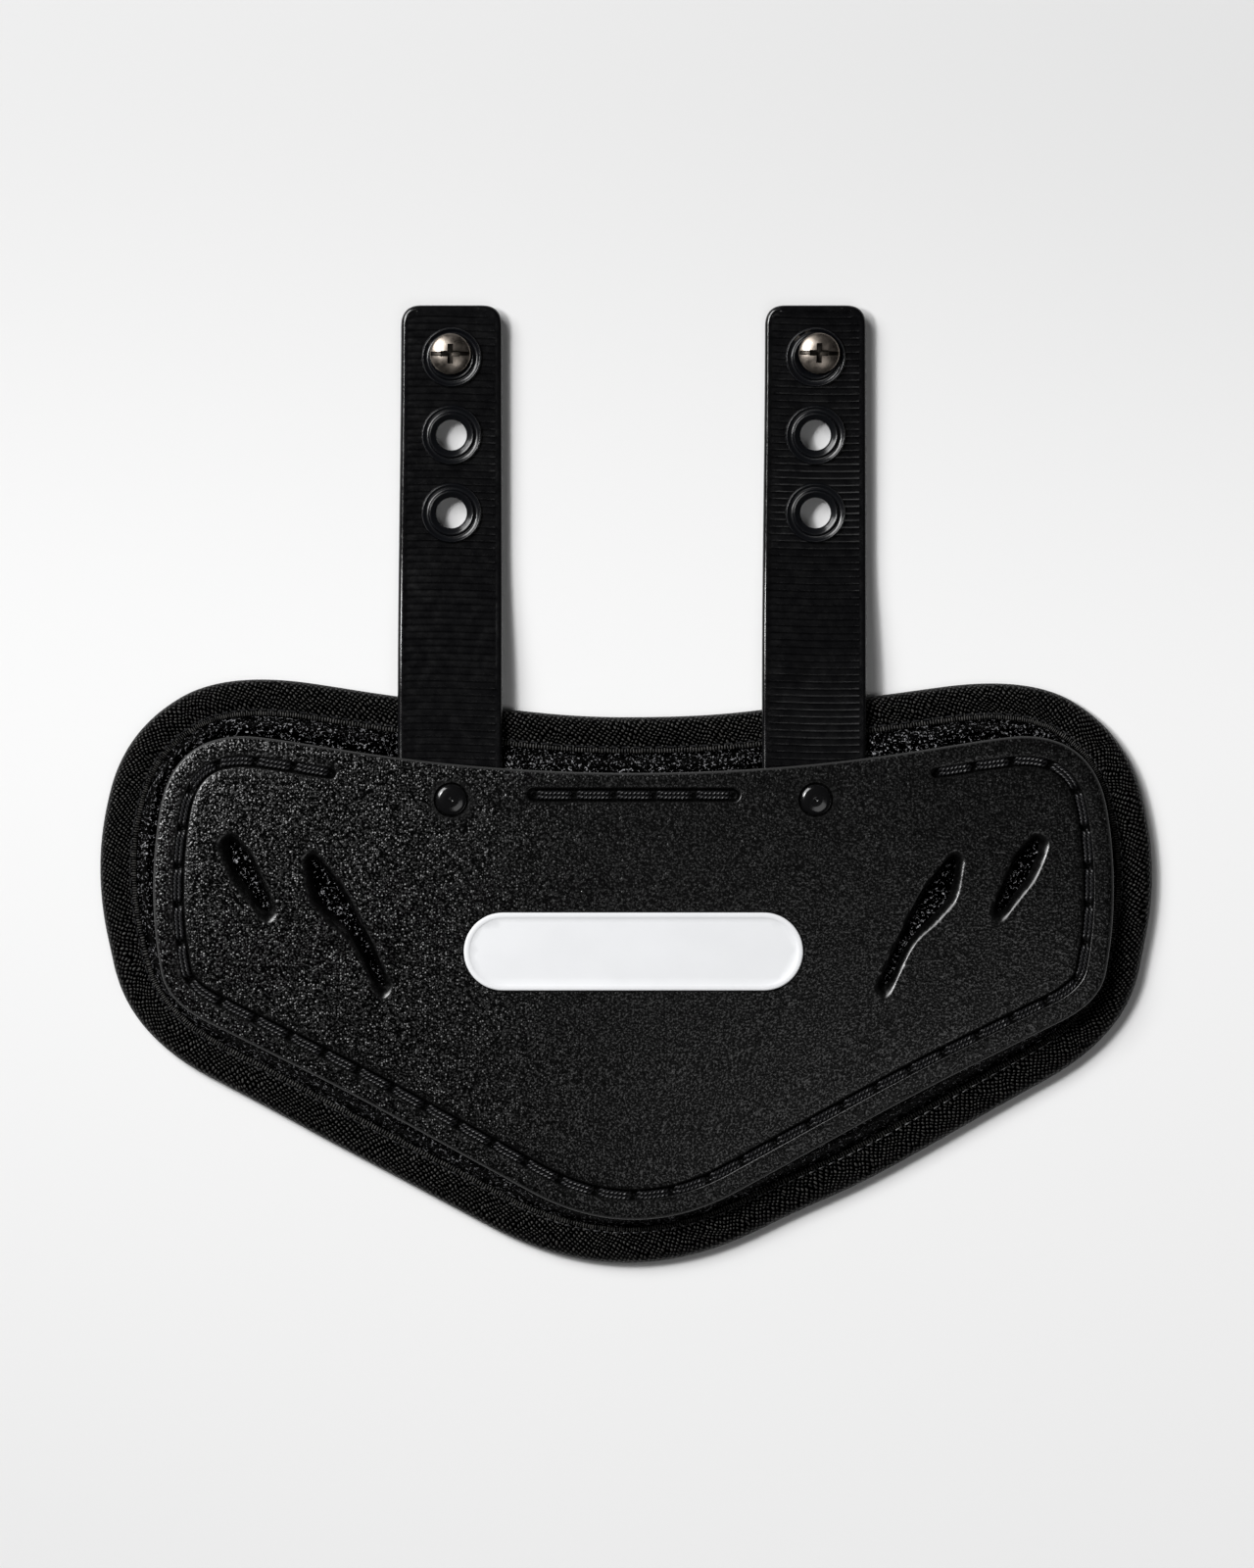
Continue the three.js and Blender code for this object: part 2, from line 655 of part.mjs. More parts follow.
function holeY(number) {
  return strapReach - END_TO_HOLE - number * HOLE_PITCH;
}

function makeStrap(side) {
  const x = side * STRAP_SPACING / 2;
  const holes = Array.from({ length: HOLES }, (_, number) => (
    prism(circle(holeRadius, { x, y: holeY(number) }), -CUT_OVER, PLATE_MIDDLE_TOP)
  ));
  const rivetHole = prism(circle(RIVET_SHANK / 2 + GAP, { x, y: rivetY }), 0, PLATE_MIDDLE_TOP);
  return cutAway(solidOf(strapBody(x, 0)), [...holes, rivetHole]);
}

function makeGrommet(side, number) {
  const bore = GROMMET_BORE / 2;
  const flange = GROMMET_FLANGE / 2;
  const back = GROMMET_BACK_FLANGE / 2;
  const barrel = GROMMET_BARREL / 2;
  const crest = GROMMET_CREST_DIAMETER / 2;
  const under = -STRAP_THICKNESS - GAP;
  const valley = (crest + flange) / 2;
  const profile = [
    [bore, under - GROMMET_BACK],
    [back, under - GROMMET_BACK],
    [back, under],
    [barrel, under],
    [barrel, GAP],
    [flange, GAP],
    [flange, GROMMET_RIM * 0.7],
    [flange - 0.5, GROMMET_RIM],
    [valley, GROMMET_RIM * 0.55],
    [crest, GROMMET_CREST],
    [bore, GROMMET_CREST * 0.3],
    [bore, under - GROMMET_BACK],
  ];
  return turned(profile, { x: side * STRAP_SPACING / 2, y: holeY(number) }, strapEndTop);
}

// Fasteners

function makeRivet(side) {
  const centre = { x: side * rivetX, y: rivetY };
  const seat = crownTop(centre.x, centre.y) - COUNTERSINK_DEPTH + GAP;
  const tailTop = strapUnder(rivetY) - GAP - seat;
  const head = RIVET_HEAD / 2;
  const shank = RIVET_SHANK / 2;
  const profile = [
    [0, tailTop - RIVET_TAIL_THICKNESS],
    [RIVET_TAIL / 2, tailTop - RIVET_TAIL_THICKNESS],
    [RIVET_TAIL / 2, tailTop],
    [shank, tailTop],
    [shank, 0],
    [head, 0],
    [head, RIVET_DOME * 0.45],
    [head * 0.75, RIVET_DOME * 0.85],
    [head * 0.35, RIVET_DOME],
    [head * 0.12, RIVET_DOME],
    [0, RIVET_DOME * 0.85],
  ];
  return turned(profile, centre, seat);
}

function screwPlace(side) {
  const off = side < 0 ? LEFT_SCREW_OFF : RIGHT_SCREW_OFF;
  return { x: side * STRAP_SPACING / 2 + off.x, y: holeY(0) + off.y };
}

function makeScrew(side) {
  const centre = screwPlace(side);
  const seat = strapEndTop + GROMMET_CREST + GAP;
  const head = SCREW_HEAD / 2;
  const shank = SCREW_SHANK / 2;
  const tip = NUT_FLANGE_THICKNESS + GAP - seat;
  const profile = [
    [0, tip],
    [shank, tip],
    [shank, 0],
    [head, 0],
    [head, SCREW_DOME * 0.3],
    [head * 0.88, SCREW_DOME * 0.62],
    [head * 0.6, SCREW_DOME * 0.88],
    [head * 0.3, SCREW_DOME * 0.98],
    [0, SCREW_DOME],
  ];
  const crossFloor = seat + SCREW_DOME - CROSS_DEPTH;
  const slotFloor = seat + SCREW_DOME - SLOT_DEPTH;
  const over = seat + SCREW_DOME + 1;
  return cutAway(solidOf(turned(profile, centre, seat)), [
    bar(CROSS_SPAN, CROSS_ARM, centre, crossFloor, over),
    bar(CROSS_ARM, CROSS_SPAN, centre, crossFloor, over),
    bar(SLOT_SPAN, CROSS_ARM, centre, slotFloor, over),
  ]);
}

function bar(length, width, centre, under, top) {
  const geometry = new THREE.BoxGeometry(length, width, top - under);
  geometry.translate(centre.x, centre.y, (top + under) / 2);
  return geometry;
}

function makeNut(side) {
  const flange = NUT_FLANGE / 2;
  const barrel = NUT_BARREL / 2;
  const bore = SCREW_SHANK / 2 + GAP;
  const top = strapEndTop + GROMMET_CREST * 0.3;
  const profile = [
    [0, 0],
    [flange, 0],
    [flange, NUT_FLANGE_THICKNESS],
    [barrel, NUT_FLANGE_THICKNESS],
    [barrel, top],
    [bore, top],
    [bore, NUT_FLANGE_THICKNESS],
    [0, NUT_FLANGE_THICKNESS],
  ];
  return turned(profile, screwPlace(side), 0);
}

// Finishes
const finishes = {
  platePlastic: { color: 0x17171a, roughness: 0.5, metalness: 0 },
  knit: { color: 0x1c1c1f, roughness: 0.95, metalness: 0 },
  tape: { color: 0x141416, roughness: 0.85, metalness: 0 },
  strapCoating: { color: 0x101013, roughness: 0.3, metalness: 0 },
  grommetRubber: { color: 0x15171c, roughness: 0.6, metalness: 0 },
  rivetBlack: { color: 0x0c0c0e, roughness: 0.25, metalness: 0 },
  darkNickel: { color: 0x6b6660, roughness: 0.35, metalness: 1 },
  badgeWhite: { color: 0xe9e9ea, roughness: 0.45, metalness: 0 },
};

const group = new THREE.Group();

function add(name, shape, finish) {
  const geometry = shape.isBufferGeometry ? geometryOf(solidOf(shape)) : geometryOf(shape);
  geometry.computeVertexNormals();
  const mesh = new THREE.Mesh(geometry, new THREE.MeshStandardMaterial(finishes[finish]));
  mesh.name = name;
  group.add(mesh);
}

add('pad', makePad(), 'knit');
add('edge_binding', makeBinding(), 'tape');
add('plate', makePlate(), 'platePlastic');
add('badge_panel', makeBadge(), 'badgeWhite');
[['left', -1], ['right', 1]].forEach(([label, side]) => {
  add(`strap_${label}`, makeStrap(side), 'strapCoating');
  for (let number = 0; number < HOLES; number += 1) {
    add(`grommet_${label}_${number + 1}`, makeGrommet(side, number), 'grommetRubber');
  }
  add(`rivet_${label}`, makeRivet(side), 'rivetBlack');
  add(`screw_${label}`, makeScrew(side), 'darkNickel');
  add(`screw_nut_${label}`, makeNut(side), 'darkNickel');
});

const bounds = new THREE.Box3().setFromObject(group);
const middle = bounds.getCenter(new THREE.Vector3());
group.position.set(-middle.x, -middle.y, -bounds.min.z);

export default group;
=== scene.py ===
import math

import bpy
import numpy as np
from bpy.props import FloatProperty, FloatVectorProperty, PointerProperty
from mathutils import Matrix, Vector
from mathutils.geometry import delaunay_2d_cdt


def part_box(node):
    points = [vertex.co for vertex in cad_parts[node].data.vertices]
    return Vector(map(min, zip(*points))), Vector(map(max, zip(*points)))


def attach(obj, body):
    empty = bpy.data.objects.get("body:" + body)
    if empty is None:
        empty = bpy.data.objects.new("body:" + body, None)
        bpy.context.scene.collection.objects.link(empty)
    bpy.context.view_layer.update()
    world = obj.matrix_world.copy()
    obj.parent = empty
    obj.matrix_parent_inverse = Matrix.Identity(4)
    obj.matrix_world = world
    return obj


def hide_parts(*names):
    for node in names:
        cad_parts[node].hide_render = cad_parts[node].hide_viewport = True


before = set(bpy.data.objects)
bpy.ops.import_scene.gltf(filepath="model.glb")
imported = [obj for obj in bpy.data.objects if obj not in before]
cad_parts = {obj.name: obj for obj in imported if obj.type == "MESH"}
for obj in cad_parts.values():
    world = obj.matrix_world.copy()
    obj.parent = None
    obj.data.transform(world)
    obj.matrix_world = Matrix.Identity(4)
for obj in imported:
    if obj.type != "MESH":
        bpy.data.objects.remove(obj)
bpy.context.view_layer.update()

bl_info = {
    "name": "Football back plate",
    "version": (1, 0, 0),
    "blender": (4, 5, 0),
    "location": "3D View > Sidebar > Back plate",
    "description": "Builds a football back plate with its bound pad, straps and fasteners",
    "category": "Add Mesh",
}

MM = 0.001

# Where the frame puts the plate's centre line and the straps' ends
STRAP_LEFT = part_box("strap_left")
STRAP_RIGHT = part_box("strap_right")
AXIS_X = (STRAP_LEFT[0].x + STRAP_RIGHT[1].x) / 2
REACH_Y = STRAP_LEFT[1].y

# Corners of the half outlines, from the top centre round the right side to the lower tip.
# x is a share of the half width, y of the height; before and after are the shares of the
# edges on each side that the round corner takes up.
PAD_CORNERS = (
    dict(x=0, y=0.924, before=0.35, after=0.35),
    dict(x=0.771, y=1.012, before=0.22, after=0.46),
    dict(x=0.954, y=0.904, before=0.5, after=0.45),
    dict(x=1.017, y=0.673, before=0.5, after=0.42),
    dict(x=0.952, y=0.395, before=0.42, after=0.16),
    dict(x=0, y=-0.063, before=0.276, after=0.276),
)
PLATE_CORNERS = (
    dict(x=0, y=0.8795, before=0.76, after=0.76),
    dict(x=0.784, y=1.004, before=0.12, after=0.16),
    dict(x=0.956, y=1, before=0.84, after=0.47),
    dict(x=1.009, y=0.678, before=0.53, after=0.72),
    dict(x=0.966, y=0.451, before=0.27, after=0.22),
    dict(x=0.588, y=0.264, before=0.27, after=0.17),
    dict(x=0, y=-0.06, before=0.37, after=0.37),
)

# Vent outlines: along is a share of the length from the upper end, outer and inner are
# shares of the half width to each side of the vent's straight axis.
OUTER_VENT = (
    dict(along=0.03, outer=0.75, inner=-0.45),
    dict(along=0.17, outer=0.94, inner=-0.7),
    dict(along=0.3, outer=1.02, inner=-0.96),
    dict(along=0.46, outer=1.02, inner=-0.92),
    dict(along=0.65, outer=0.76, inner=-0.87),
    dict(along=0.82, outer=0.5, inner=-0.79),
    dict(along=0.95, outer=0.33, inner=-0.62),
)
INNER_VENT = (
    dict(along=0.02, outer=0.52, inner=-0.25),
    dict(along=0.1, outer=0.81, inner=-0.46),
    dict(along=0.2, outer=1.12, inner=-0.67),
    dict(along=0.28, outer=1.21, inner=-0.8),
    dict(along=0.35, outer=1.06, inner=-0.87),
    dict(along=0.46, outer=0.76, inner=-0.88),
    dict(along=0.55, outer=0.41, inner=-0.85),
    dict(along=0.64, outer=0.19, inner=-0.87),
    dict(along=0.75, outer=0.17, inner=-0.81),
    dict(along=0.86, outer=0.22, inner=-0.74),
    dict(along=0.96, outer=0.26, inner=-0.64),
)

# Side view of a strap: along is a share of its length from its hidden end, rise its height
# above the level outer stretch as a share of its height at the rivet.
STRAP_PATH = (
    dict(along=0, rise=1.12),
    dict(along=0.08, rise=0.98),
    dict(along=0.15, rise=0.8),
    dict(along=0.2, rise=0.74),
    dict(along=0.27, rise=0.71),
    dict(along=0.31, rise=0.66),
    dict(along=0.37, rise=0.5),
    dict(along=0.43, rise=0.27),
    dict(along=0.49, rise=0.08),
    dict(along=0.54, rise=0),
    dict(along=1, rise=0),
)


def length(name, millimetres, text):
    """A size that a user may change, given in millimetres and kept in metres."""
    return FloatProperty(name=name, description=text, unit="LENGTH", precision=5,
                         default=millimetres * MM)


def linear(hex_colour):
    """An sRGB hex colour as linear values: each channel is undone from its display curve."""
    srgb = [int(hex_colour[i:i + 2], 16) / 255 for i in (1, 3, 5)]
    return [c / 12.92 if c <= 0.04045 else ((c + 0.055) / 1.055) ** 2.4 for c in srgb]


def colour(name, hex_colour, text):
    """A finish's colour that a user may change."""
    return FloatVectorProperty(name=name, description=text, subtype="COLOR", size=3, min=0, max=1,
                               default=linear(hex_colour))


class BackPlateSizes(bpy.types.PropertyGroup):
    """Real sizes of the back plate."""
    plate_width: length("Plate width", 296, "Width of the plate across the back")
    plate_height: length("Plate height", 147.7, "Height of the plate from its lower tip to its shoulders")
    plate_thickness: length("Plate thickness", 2.8, "Thickness of the moulded plate")
    plate_middle: length("Plate middle height", 15.8, "Height of the plate's middle over the floor")
    crown_across: length("Crown across", 4.5, "How far the plate's sides lie below its middle")
    crown_along: length("Crown along", 3, "How far the plate's ends lie below its middle")
    pad_beside: length("Pad beside plate", 12.8, "Width of the pad that shows beside the plate")
    pad_below: length("Pad below plate", 13.8, "Height of the pad that shows below the plate's tip")
    pad_above: length("Pad above plate", 16.9, "Height of the pad that shows above the plate's shoulders")
    pad_sidestep: length("Pad sidestep", -2, "How far the pad is stitched to one side")
    gap: length("Gap", 0.3, "Clearance between neighbours")
    cover: length("Binding cover", 9.4, "Width of the binding on each face of the pad")
    binding_height: length("Binding height", 5.3, "Thickness of the bound edge")
    tape: length("Tape", 0.8, "Thickness of the binding tape")
    groove_inset: length("Groove inset", 7.8, "Distance of the stitching groove from the plate's edge")
    groove_width: length("Groove width", 3.2, "Width of the stitching groove")
    groove_depth: length("Groove depth", 1.5, "Depth of the stitching groove")
    groove_end: length("Groove end", 92.5, "Where the groove ends, from the centre line")
    channel_length: length("Channel length", 65.3, "Length of the short channel at the top middle")
    channel_width: length("Channel width", 4.3, "Width of the short channel at the top middle")
    channel_below: length("Channel below top", 6.8, "Distance of the channel from the plate's top edge")
    badge_length: length("Badge length", 104, "Length of the blank badge")
    badge_width: length("Badge width", 24, "Width of the blank badge")
    badge_down: length("Badge down", 65.5, "Distance of the badge below the plate's shoulders")
    stitch_pitch: length("Stitch pitch", 11.7, "Distance from one stitch of the plate to the next")
    thread: length("Thread", 1.45, "Thickness of one of the plate's twisted threads")
    strap_width: length("Strap width", 31.75, "Width of a strap")
    strap_thickness: length("Strap thickness", 2.8, "Thickness of a strap")
    strap_length: length("Strap length", 164, "Length of a strap")
    strap_spacing: length("Strap spacing", 111.6, "Distance between the straps' centre lines")
    rib_pitch: length("Rib pitch", 2.15, "Distance between the ribs of a strap")
    hole_pitch: length("Hole pitch", 23.85, "Distance between a strap's grommets")
    end_to_hole: length("End to hole", 16, "Distance of the first grommet from the strap's end")
    grommet_bore: length("Grommet bore", 9.3, "Diameter of a grommet's hole")
    grommet_flange: length("Grommet flange", 18.4, "Diameter of a grommet's front flange")
    rivet_head: length("Rivet head", 9.4, "Diameter of a rivet's head")
    rivet_below: length("Rivet below top", 19.1, "Distance of the rivets below the plate's shoulders")
    screw_head: length("Screw head", 12.6, "Diameter of a screw's head")


class BackPlateColours(bpy.types.PropertyGroup):
    """Colours of the back plate's finishes."""
    plate: colour("Plate", "#080808", "Moulded plate")
    # The knit colour is the painted highlight on the lit loops; the rest of the knit is painted black as
    # shade
    knit: colour("Knit", "#9a9a9d", "Threads of the pad's knit cover")
    tape: colour("Binding tape", "#3c3b39", "Yarn of the binding tape")
    strap: colour("Strap", "#040405", "Coated strap")
    grommet: colour("Grommet", "#090a0d", "Grommets")
    rivet: colour("Rivet", "#0a0a0b", "Rivets")
    nickel: colour("Nickel", "#948b82", "Screws and nuts")
    badge: colour("Badge", "#eeeff1", "Blank badge")
    thread: colour("Thread", "#111113", "Stitching thread")
    floor: colour("Floor", "#fcfcfc", "Studio floor")


def sizes():
    """The scene's sizes."""
    return bpy.context.scene.back_plate_sizes


def colours():
    """The scene's colours."""
    return bpy.context.scene.back_plate_colours


# Places that follow from the sizes, in the plate's own frame: x from its centre line, y from
# the pad's lower tip, z from the floor

SIDE_NAME = {-1: "left", 1: "right"}
STRAP_BEHIND_RIVET = 12.4 * MM
STRAP_END_UNDER = 2.8 * MM


def shoulder_y():
    """Height of the plate's shoulders: the pad's strip below the plate, and the plate's height."""
    s = sizes()
    return s.pad_below + s.plate_height


def rivet_place(side):
    """Centre of a rivet: half the straps' spacing to one side, below the shoulders."""
    s = sizes()
    return np.array([side * s.strap_spacing / 2, shoulder_y() - s.rivet_below])


def strap_start():
    """Y of the straps' hidden ends: the straps' length back from the level of their free ends."""
    return strap_reach() - sizes().strap_length


def strap_reach():
    """Y of the straps' free ends: their length past their ends behind the rivets."""
    s = sizes()
    return shoulder_y() - s.rivet_below - STRAP_BEHIND_RIVET + s.strap_length


def hole_place(side, number):
    """Centre of a grommet, counted from the strap's free end in steps of the pitch."""
    s = sizes()
    return np.array([side * s.strap_spacing / 2, strap_reach() - s.end_to_hole - number * s.hole_pitch])


PLATE_SWELL = 0.22 * MM
STRAP_BEND = 9 * MM


def crown(points):
    """The plate's top: its middle height less a parabola across and a parabola along, and the
    slow swells of a cooled moulding, a product of sines that fades out under the badge."""
    s = sizes()
    x, y = points[:, 0], points[:, 1]
    across = x / (s.plate_width / 2)
    along = (y - s.pad_below - s.plate_height / 2) / (s.plate_height / 2)
    swell = np.sin(x / (15 * MM) + 0.8 * np.sin(y / (19 * MM)))
    swell = swell * np.sin(y / (13 * MM) + 0.6 * np.sin(x / (23 * MM)))
    away = smooth(np.abs(x), 60 * MM, 90 * MM)
    return (s.plate_middle - s.crown_across * across ** 2 - s.crown_along * along ** 2
            + PLATE_SWELL * away * (1 + swell))


def strap_under(y):
    """Underside of a strap: the rises of the path's rows, joined by lines and smoothed."""
    s = sizes()
    outer_edge = rivet_place(1) + [s.strap_width / 2, 0]
    at_rivet = crown(outer_edge[None])[0] - s.plate_thickness - s.gap - s.strap_thickness
    climb = at_rivet - STRAP_END_UNDER
    along = np.array([row["along"] for row in STRAP_PATH])
    rise = np.array([row["rise"] for row in STRAP_PATH])
    fine = np.linspace(-0.1, 1.1, 601)
    window = STRAP_BEND / s.strap_length / (fine[1] - fine[0])
    kernel = np.hanning(int(window) * 2 + 3)
    pad = len(kernel) // 2
    joined = np.interp(fine, along, rise)
    bent = np.convolve(np.pad(joined, pad, mode="edge"), kernel / kernel.sum(), mode="valid")
    share = (y - strap_start()) / s.strap_length
    return STRAP_END_UNDER + climb * np.interp(share, fine, bent)


# Curves on the flat

def closed_path(points):
    """A path that ends where it starts."""
    return np.vstack([points, points[:1]])


def run_along(path):
    """The distance of each point of a path from its start."""
    return np.concatenate([[0], np.cumsum(np.linalg.norm(np.diff(path, axis=0), axis=1))])


def along_path(path, run, at):
    """Points of a path at distances along it."""
    return np.stack([np.interp(at, run, path[:, 0]), np.interp(at, run, path[:, 1])], axis=-1)


def even_steps(points, spacing):
    """A closed path's points again at even distances along it."""
    path = closed_path(points)
    run = run_along(path)
    count = max(int(round(run[-1] / spacing)), 3)
    return along_path(path, run, np.linspace(0, run[-1], count, endpoint=False))


def parabolas(corners, closed=True, steps=24):
    """Each corner becomes a parabola (a quadratic Bezier) between points on its two edges.
    A corner is its place and the shares of the edges before and after it that the bend takes."""
    t = np.linspace(0, 1, steps)[:, None]
    runs = []
    count = len(corners)
    for index, (place, before, after) in enumerate(corners):
        if not closed and index in (0, count - 1):
            runs.append(place[None])
            continue
        last, following = corners[index - 1][0], corners[(index + 1) % count][0]
        start = place + (last - place) * before
        end = place + (following - place) * after
        runs.append((1 - t) ** 2 * start + 2 * t * (1 - t) * place + t ** 2 * end)
    return np.vstack(runs)


def outline(corners, width, height, tip_y, middle_x, spacing):
    """A mirrored outline: the half table's corners and their mirror images, each a parabola,
    taken anticlockwise at even steps."""
    right = [(np.array([c["x"] * width / 2, tip_y + c["y"] * height]), c["before"], c["after"])
             for c in corners]
    left = [(place * [-1, 1], after, before) for place, before, after in right[::-1] if place[0] > 0]
    points = parabolas(right + left)[::-1]
    return even_steps(points + [middle_x, 0], spacing)


def plate_outline(spacing):
    """The plate's edge."""
    s = sizes()
    return outline(PLATE_CORNERS, s.plate_width, s.plate_height, s.pad_below, 0, spacing)


# Where hand sewing leaves the pad full: the direction from its middle and the spread in
# degrees, and how far out in millimetres
FULLNESS = (
    dict(direction=-31, spread=22, out=1.7),
    dict(direction=-42, spread=14, out=0.7),
    dict(direction=28, spread=13, out=0.7),
    dict(direction=90, spread=26, out=0.4),
    dict(direction=120, spread=13, out=0.8),
    dict(direction=155, spread=14, out=1.7),
    dict(direction=141, spread=10, out=0.7),
)


def pad_outline(spacing):
    """The edge of the bound pad: the plate's size and the strips beside, below and above it,
    moved out in the full places by a bell curve of the direction from its middle."""
    s = sizes()
    width = s.plate_width + 2 * s.pad_beside
    height = s.pad_below + s.plate_height + s.pad_above
    points = outline(PAD_CORNERS, width, height, 0, s.pad_sidestep, spacing)
    direction = np.degrees(np.arctan2(points[:, 1] - height / 2, points[:, 0]))
    full = sum(row["out"] * MM * np.exp(-((direction - row["direction"]) / row["spread"]) ** 2)
               for row in FULLNESS)
    return points - left_normals(points) * full[:, None]


def left_normals(points, closed=True):
    """Unit normals to the left of a path, which point into an anticlockwise outline."""
    if closed:
        tangent = np.roll(points, -1, axis=0) - np.roll(points, 1, axis=0)
    else:
        tangent = np.gradient(points, axis=0)
    normal = np.stack([-tangent[:, 1], tangent[:, 0]], axis=1)
    return normal / np.linalg.norm(normal, axis=1, keepdims=True)


def inset(points, depth):
    """An anticlockwise outline moved inwards along its normals."""
    return points + left_normals(points) * depth


def circle(centre, radius, spacing):
    """A circle with even steps."""
    count = max(int(round(2 * math.pi * radius / spacing)), 12)
    angle = np.arange(count) * 2 * math.pi / count
    return centre + radius * np.stack([np.cos(angle), np.sin(angle)], axis=1)


def stadium(centre, long_side, short_side, spacing):
    """Two half circles joined by straight sides."""
    radius = short_side / 2
    straight = long_side / 2 - radius
    angle = np.linspace(-math.pi / 2, math.pi / 2, 24)
    right = np.stack([straight + radius * np.cos(angle), radius * np.sin(angle)], axis=1)
    return even_steps(centre + np.vstack([right, -right]), spacing)


def vent(table, place, size, lean, side, walls, spacing):
    """A leaf: the table's two edges to each side of a leaning axis, joined by a closed smooth
    curve through the points (Catmull-Rom). The walls, to the outer and inner side, the start
    and the tip, are taken off it, and where little is left a sliver stays."""
    long, half = size[0], size[1] / 2
    rows = np.array([[r["along"] * long, r["outer"] * half, r["inner"] * half] for r in table])
    rows = rows[(rows[:, 0] > walls[2]) & (rows[:, 0] < long - walls[3])]
    middle, least = (rows[:, 1] + rows[:, 2]) / 2, (rows[:, 1] - rows[:, 2]) * 0.14
    outer = np.maximum(rows[:, 1] - walls[0], middle + least)
    inner = np.minimum(rows[:, 2] + walls[1], middle - least)
    start, tip = (0, 0) if not walls[2] else ((outer[0] + inner[0]) / 2, (outer[-1] + inner[-1]) / 2)
    along = np.concatenate([[walls[2]], rows[:, 0], [long - walls[3]], rows[::-1, 0]])
    across = np.concatenate([[start], outer, [tip], inner[::-1]])
    down = np.array([-side * math.sin(lean), -math.cos(lean)])
    out = np.array([side * math.cos(lean), -math.sin(lean)])
    knots = place + along[:, None] * down + across[:, None] * out
    t = np.linspace(0, 1, 12, endpoint=False)[None, :, None]
    p0, p1, p2, p3 = (np.roll(knots, shift, axis=0)[:, None] for shift in (1, 0, -1, -2))
    curve = 0.5 * (2 * p1 + (p2 - p0) * t + (2 * p0 - 5 * p1 + 4 * p2 - p3) * t ** 2
                   + (3 * p1 - p0 - 3 * p2 + p3) * t ** 3)
    points = even_steps(curve.reshape(-1, 2), spacing)
    return points if signed_area(points) > 0 else points[::-1]


def signed_area(points):
    """Area inside a closed path, positive where it runs anticlockwise."""
    following = np.roll(points, -1, axis=0)
    return 0.5 * np.sum(points[:, 0] * following[:, 1] - points[:, 1] * following[:, 0])


# The vents' upper ends: out from the centre line and down from the shoulders, in millimetres
VENTS = (
    dict(shape=OUTER_VENT, out=124.6, down=29.7, length=29.8, width=9, lean=26.3),
    dict(shape=INNER_VENT, out=99, down=35.1, length=50, width=10.5, lean=27),
)
MOUTH_WALLS = (0, 0, 0, 0)
THROAT_WALLS = (2.6 * MM, 1.4 * MM, 2.2 * MM, 3 * MM)
NEAR_VENT = 3 * MM


def vents(walls, spacing):
    """The four leaf-shaped vents, each mirrored on the plate's centre line."""
    found = []
    for side in (-1, 1):
        for row in VENTS:
            place = np.array([side * row["out"] * MM, shoulder_y() - row["down"] * MM])
            found.append(vent(row["shape"], place, (row["length"] * MM, row["width"] * MM),
                              math.radians(row["lean"]), side, walls, spacing))
    return found


def hull_round(loop, grow, spacing):
    """A rounded loop at a distance outside another: for each direction, the farthest reach of
    the loop that way and the distance beyond it (its convex support, as an envelope)."""
    angle = np.arange(72) * 2 * math.pi / 72
    way = np.stack([np.cos(angle), np.sin(angle)], axis=1)
    reach = loop[np.argmax(loop @ way.T, axis=0)] + grow * way
    return even_steps(reach, spacing)


def chunks(points, others, pairs):
    """Numbers of the points in runs so short that each has at most so many pairs with the others."""
    return np.array_split(np.arange(len(points)), 1 + len(points) * len(others) // pairs)


def distance(points, path, closed=True):
    """Shortest distance from each point to the path's straight pieces."""
    start = path if closed else path[:-1]
    step = (np.roll(path, -1, axis=0) if closed else path[1:]) - start
    squared = np.maximum((step ** 2).sum(1), 1e-18)
    found = np.empty(len(points))
    for chunk in chunks(points, start, 3_000_000):
        from_start = points[chunk][:, None] - start
        share = np.clip((from_start * step).sum(2) / squared, 0, 1)
        found[chunk] = np.sqrt(((from_start - share[..., None] * step) ** 2).sum(2).min(1))
    return found


def inside(points, loop):
    """True where a ray from the point to the right crosses the loop an odd number of times."""
    start, end = loop, np.roll(loop, -1, axis=0)
    rise = end[:, 1] - start[:, 1]
    rise = np.where(rise == 0, 1e-18, rise)
    found = np.empty(len(points), bool)
    for chunk in chunks(points, start, 6_000_000):
        x, y = points[chunk, 0][:, None], points[chunk, 1][:, None]
        crosses = (start[:, 1] > y) != (end[:, 1] > y)
        x_there = start[:, 0] + (y - start[:, 1]) / rise * (end[:, 0] - start[:, 0])
        found[chunk] = (crosses & (x < x_there)).sum(1) % 2 == 1
    return found


def box_distance(points, half_x, half_y):
    """Signed distance to a rectangle round the origin, negative inside."""
    outside = np.abs(points) - [half_x, half_y]
    far = np.linalg.norm(np.maximum(outside, 0), axis=1)
    return far + np.minimum(outside.max(1), 0)


def smooth(value, low, high):
    """A smooth step from 0 at low to 1 at high."""
    t = np.clip((value - low) / (high - low), 0, 1)
    return t * t * (3 - 2 * t)


def roundover(depth, radius):
    """Drop of a quarter-round edge at a distance in from it: all of the radius at the edge,
    nothing from one radius inwards."""
    t = np.clip(depth / radius, 0, 1)
    return radius * (1 - np.sqrt(np.maximum(1 - (1 - t) ** 2, 0)))


# Meshes

def linked(name, data):
    """Puts an object with this data into the scene."""
    holder = bpy.data.objects.new(name, data)
    bpy.context.scene.collection.objects.link(holder)
    return holder


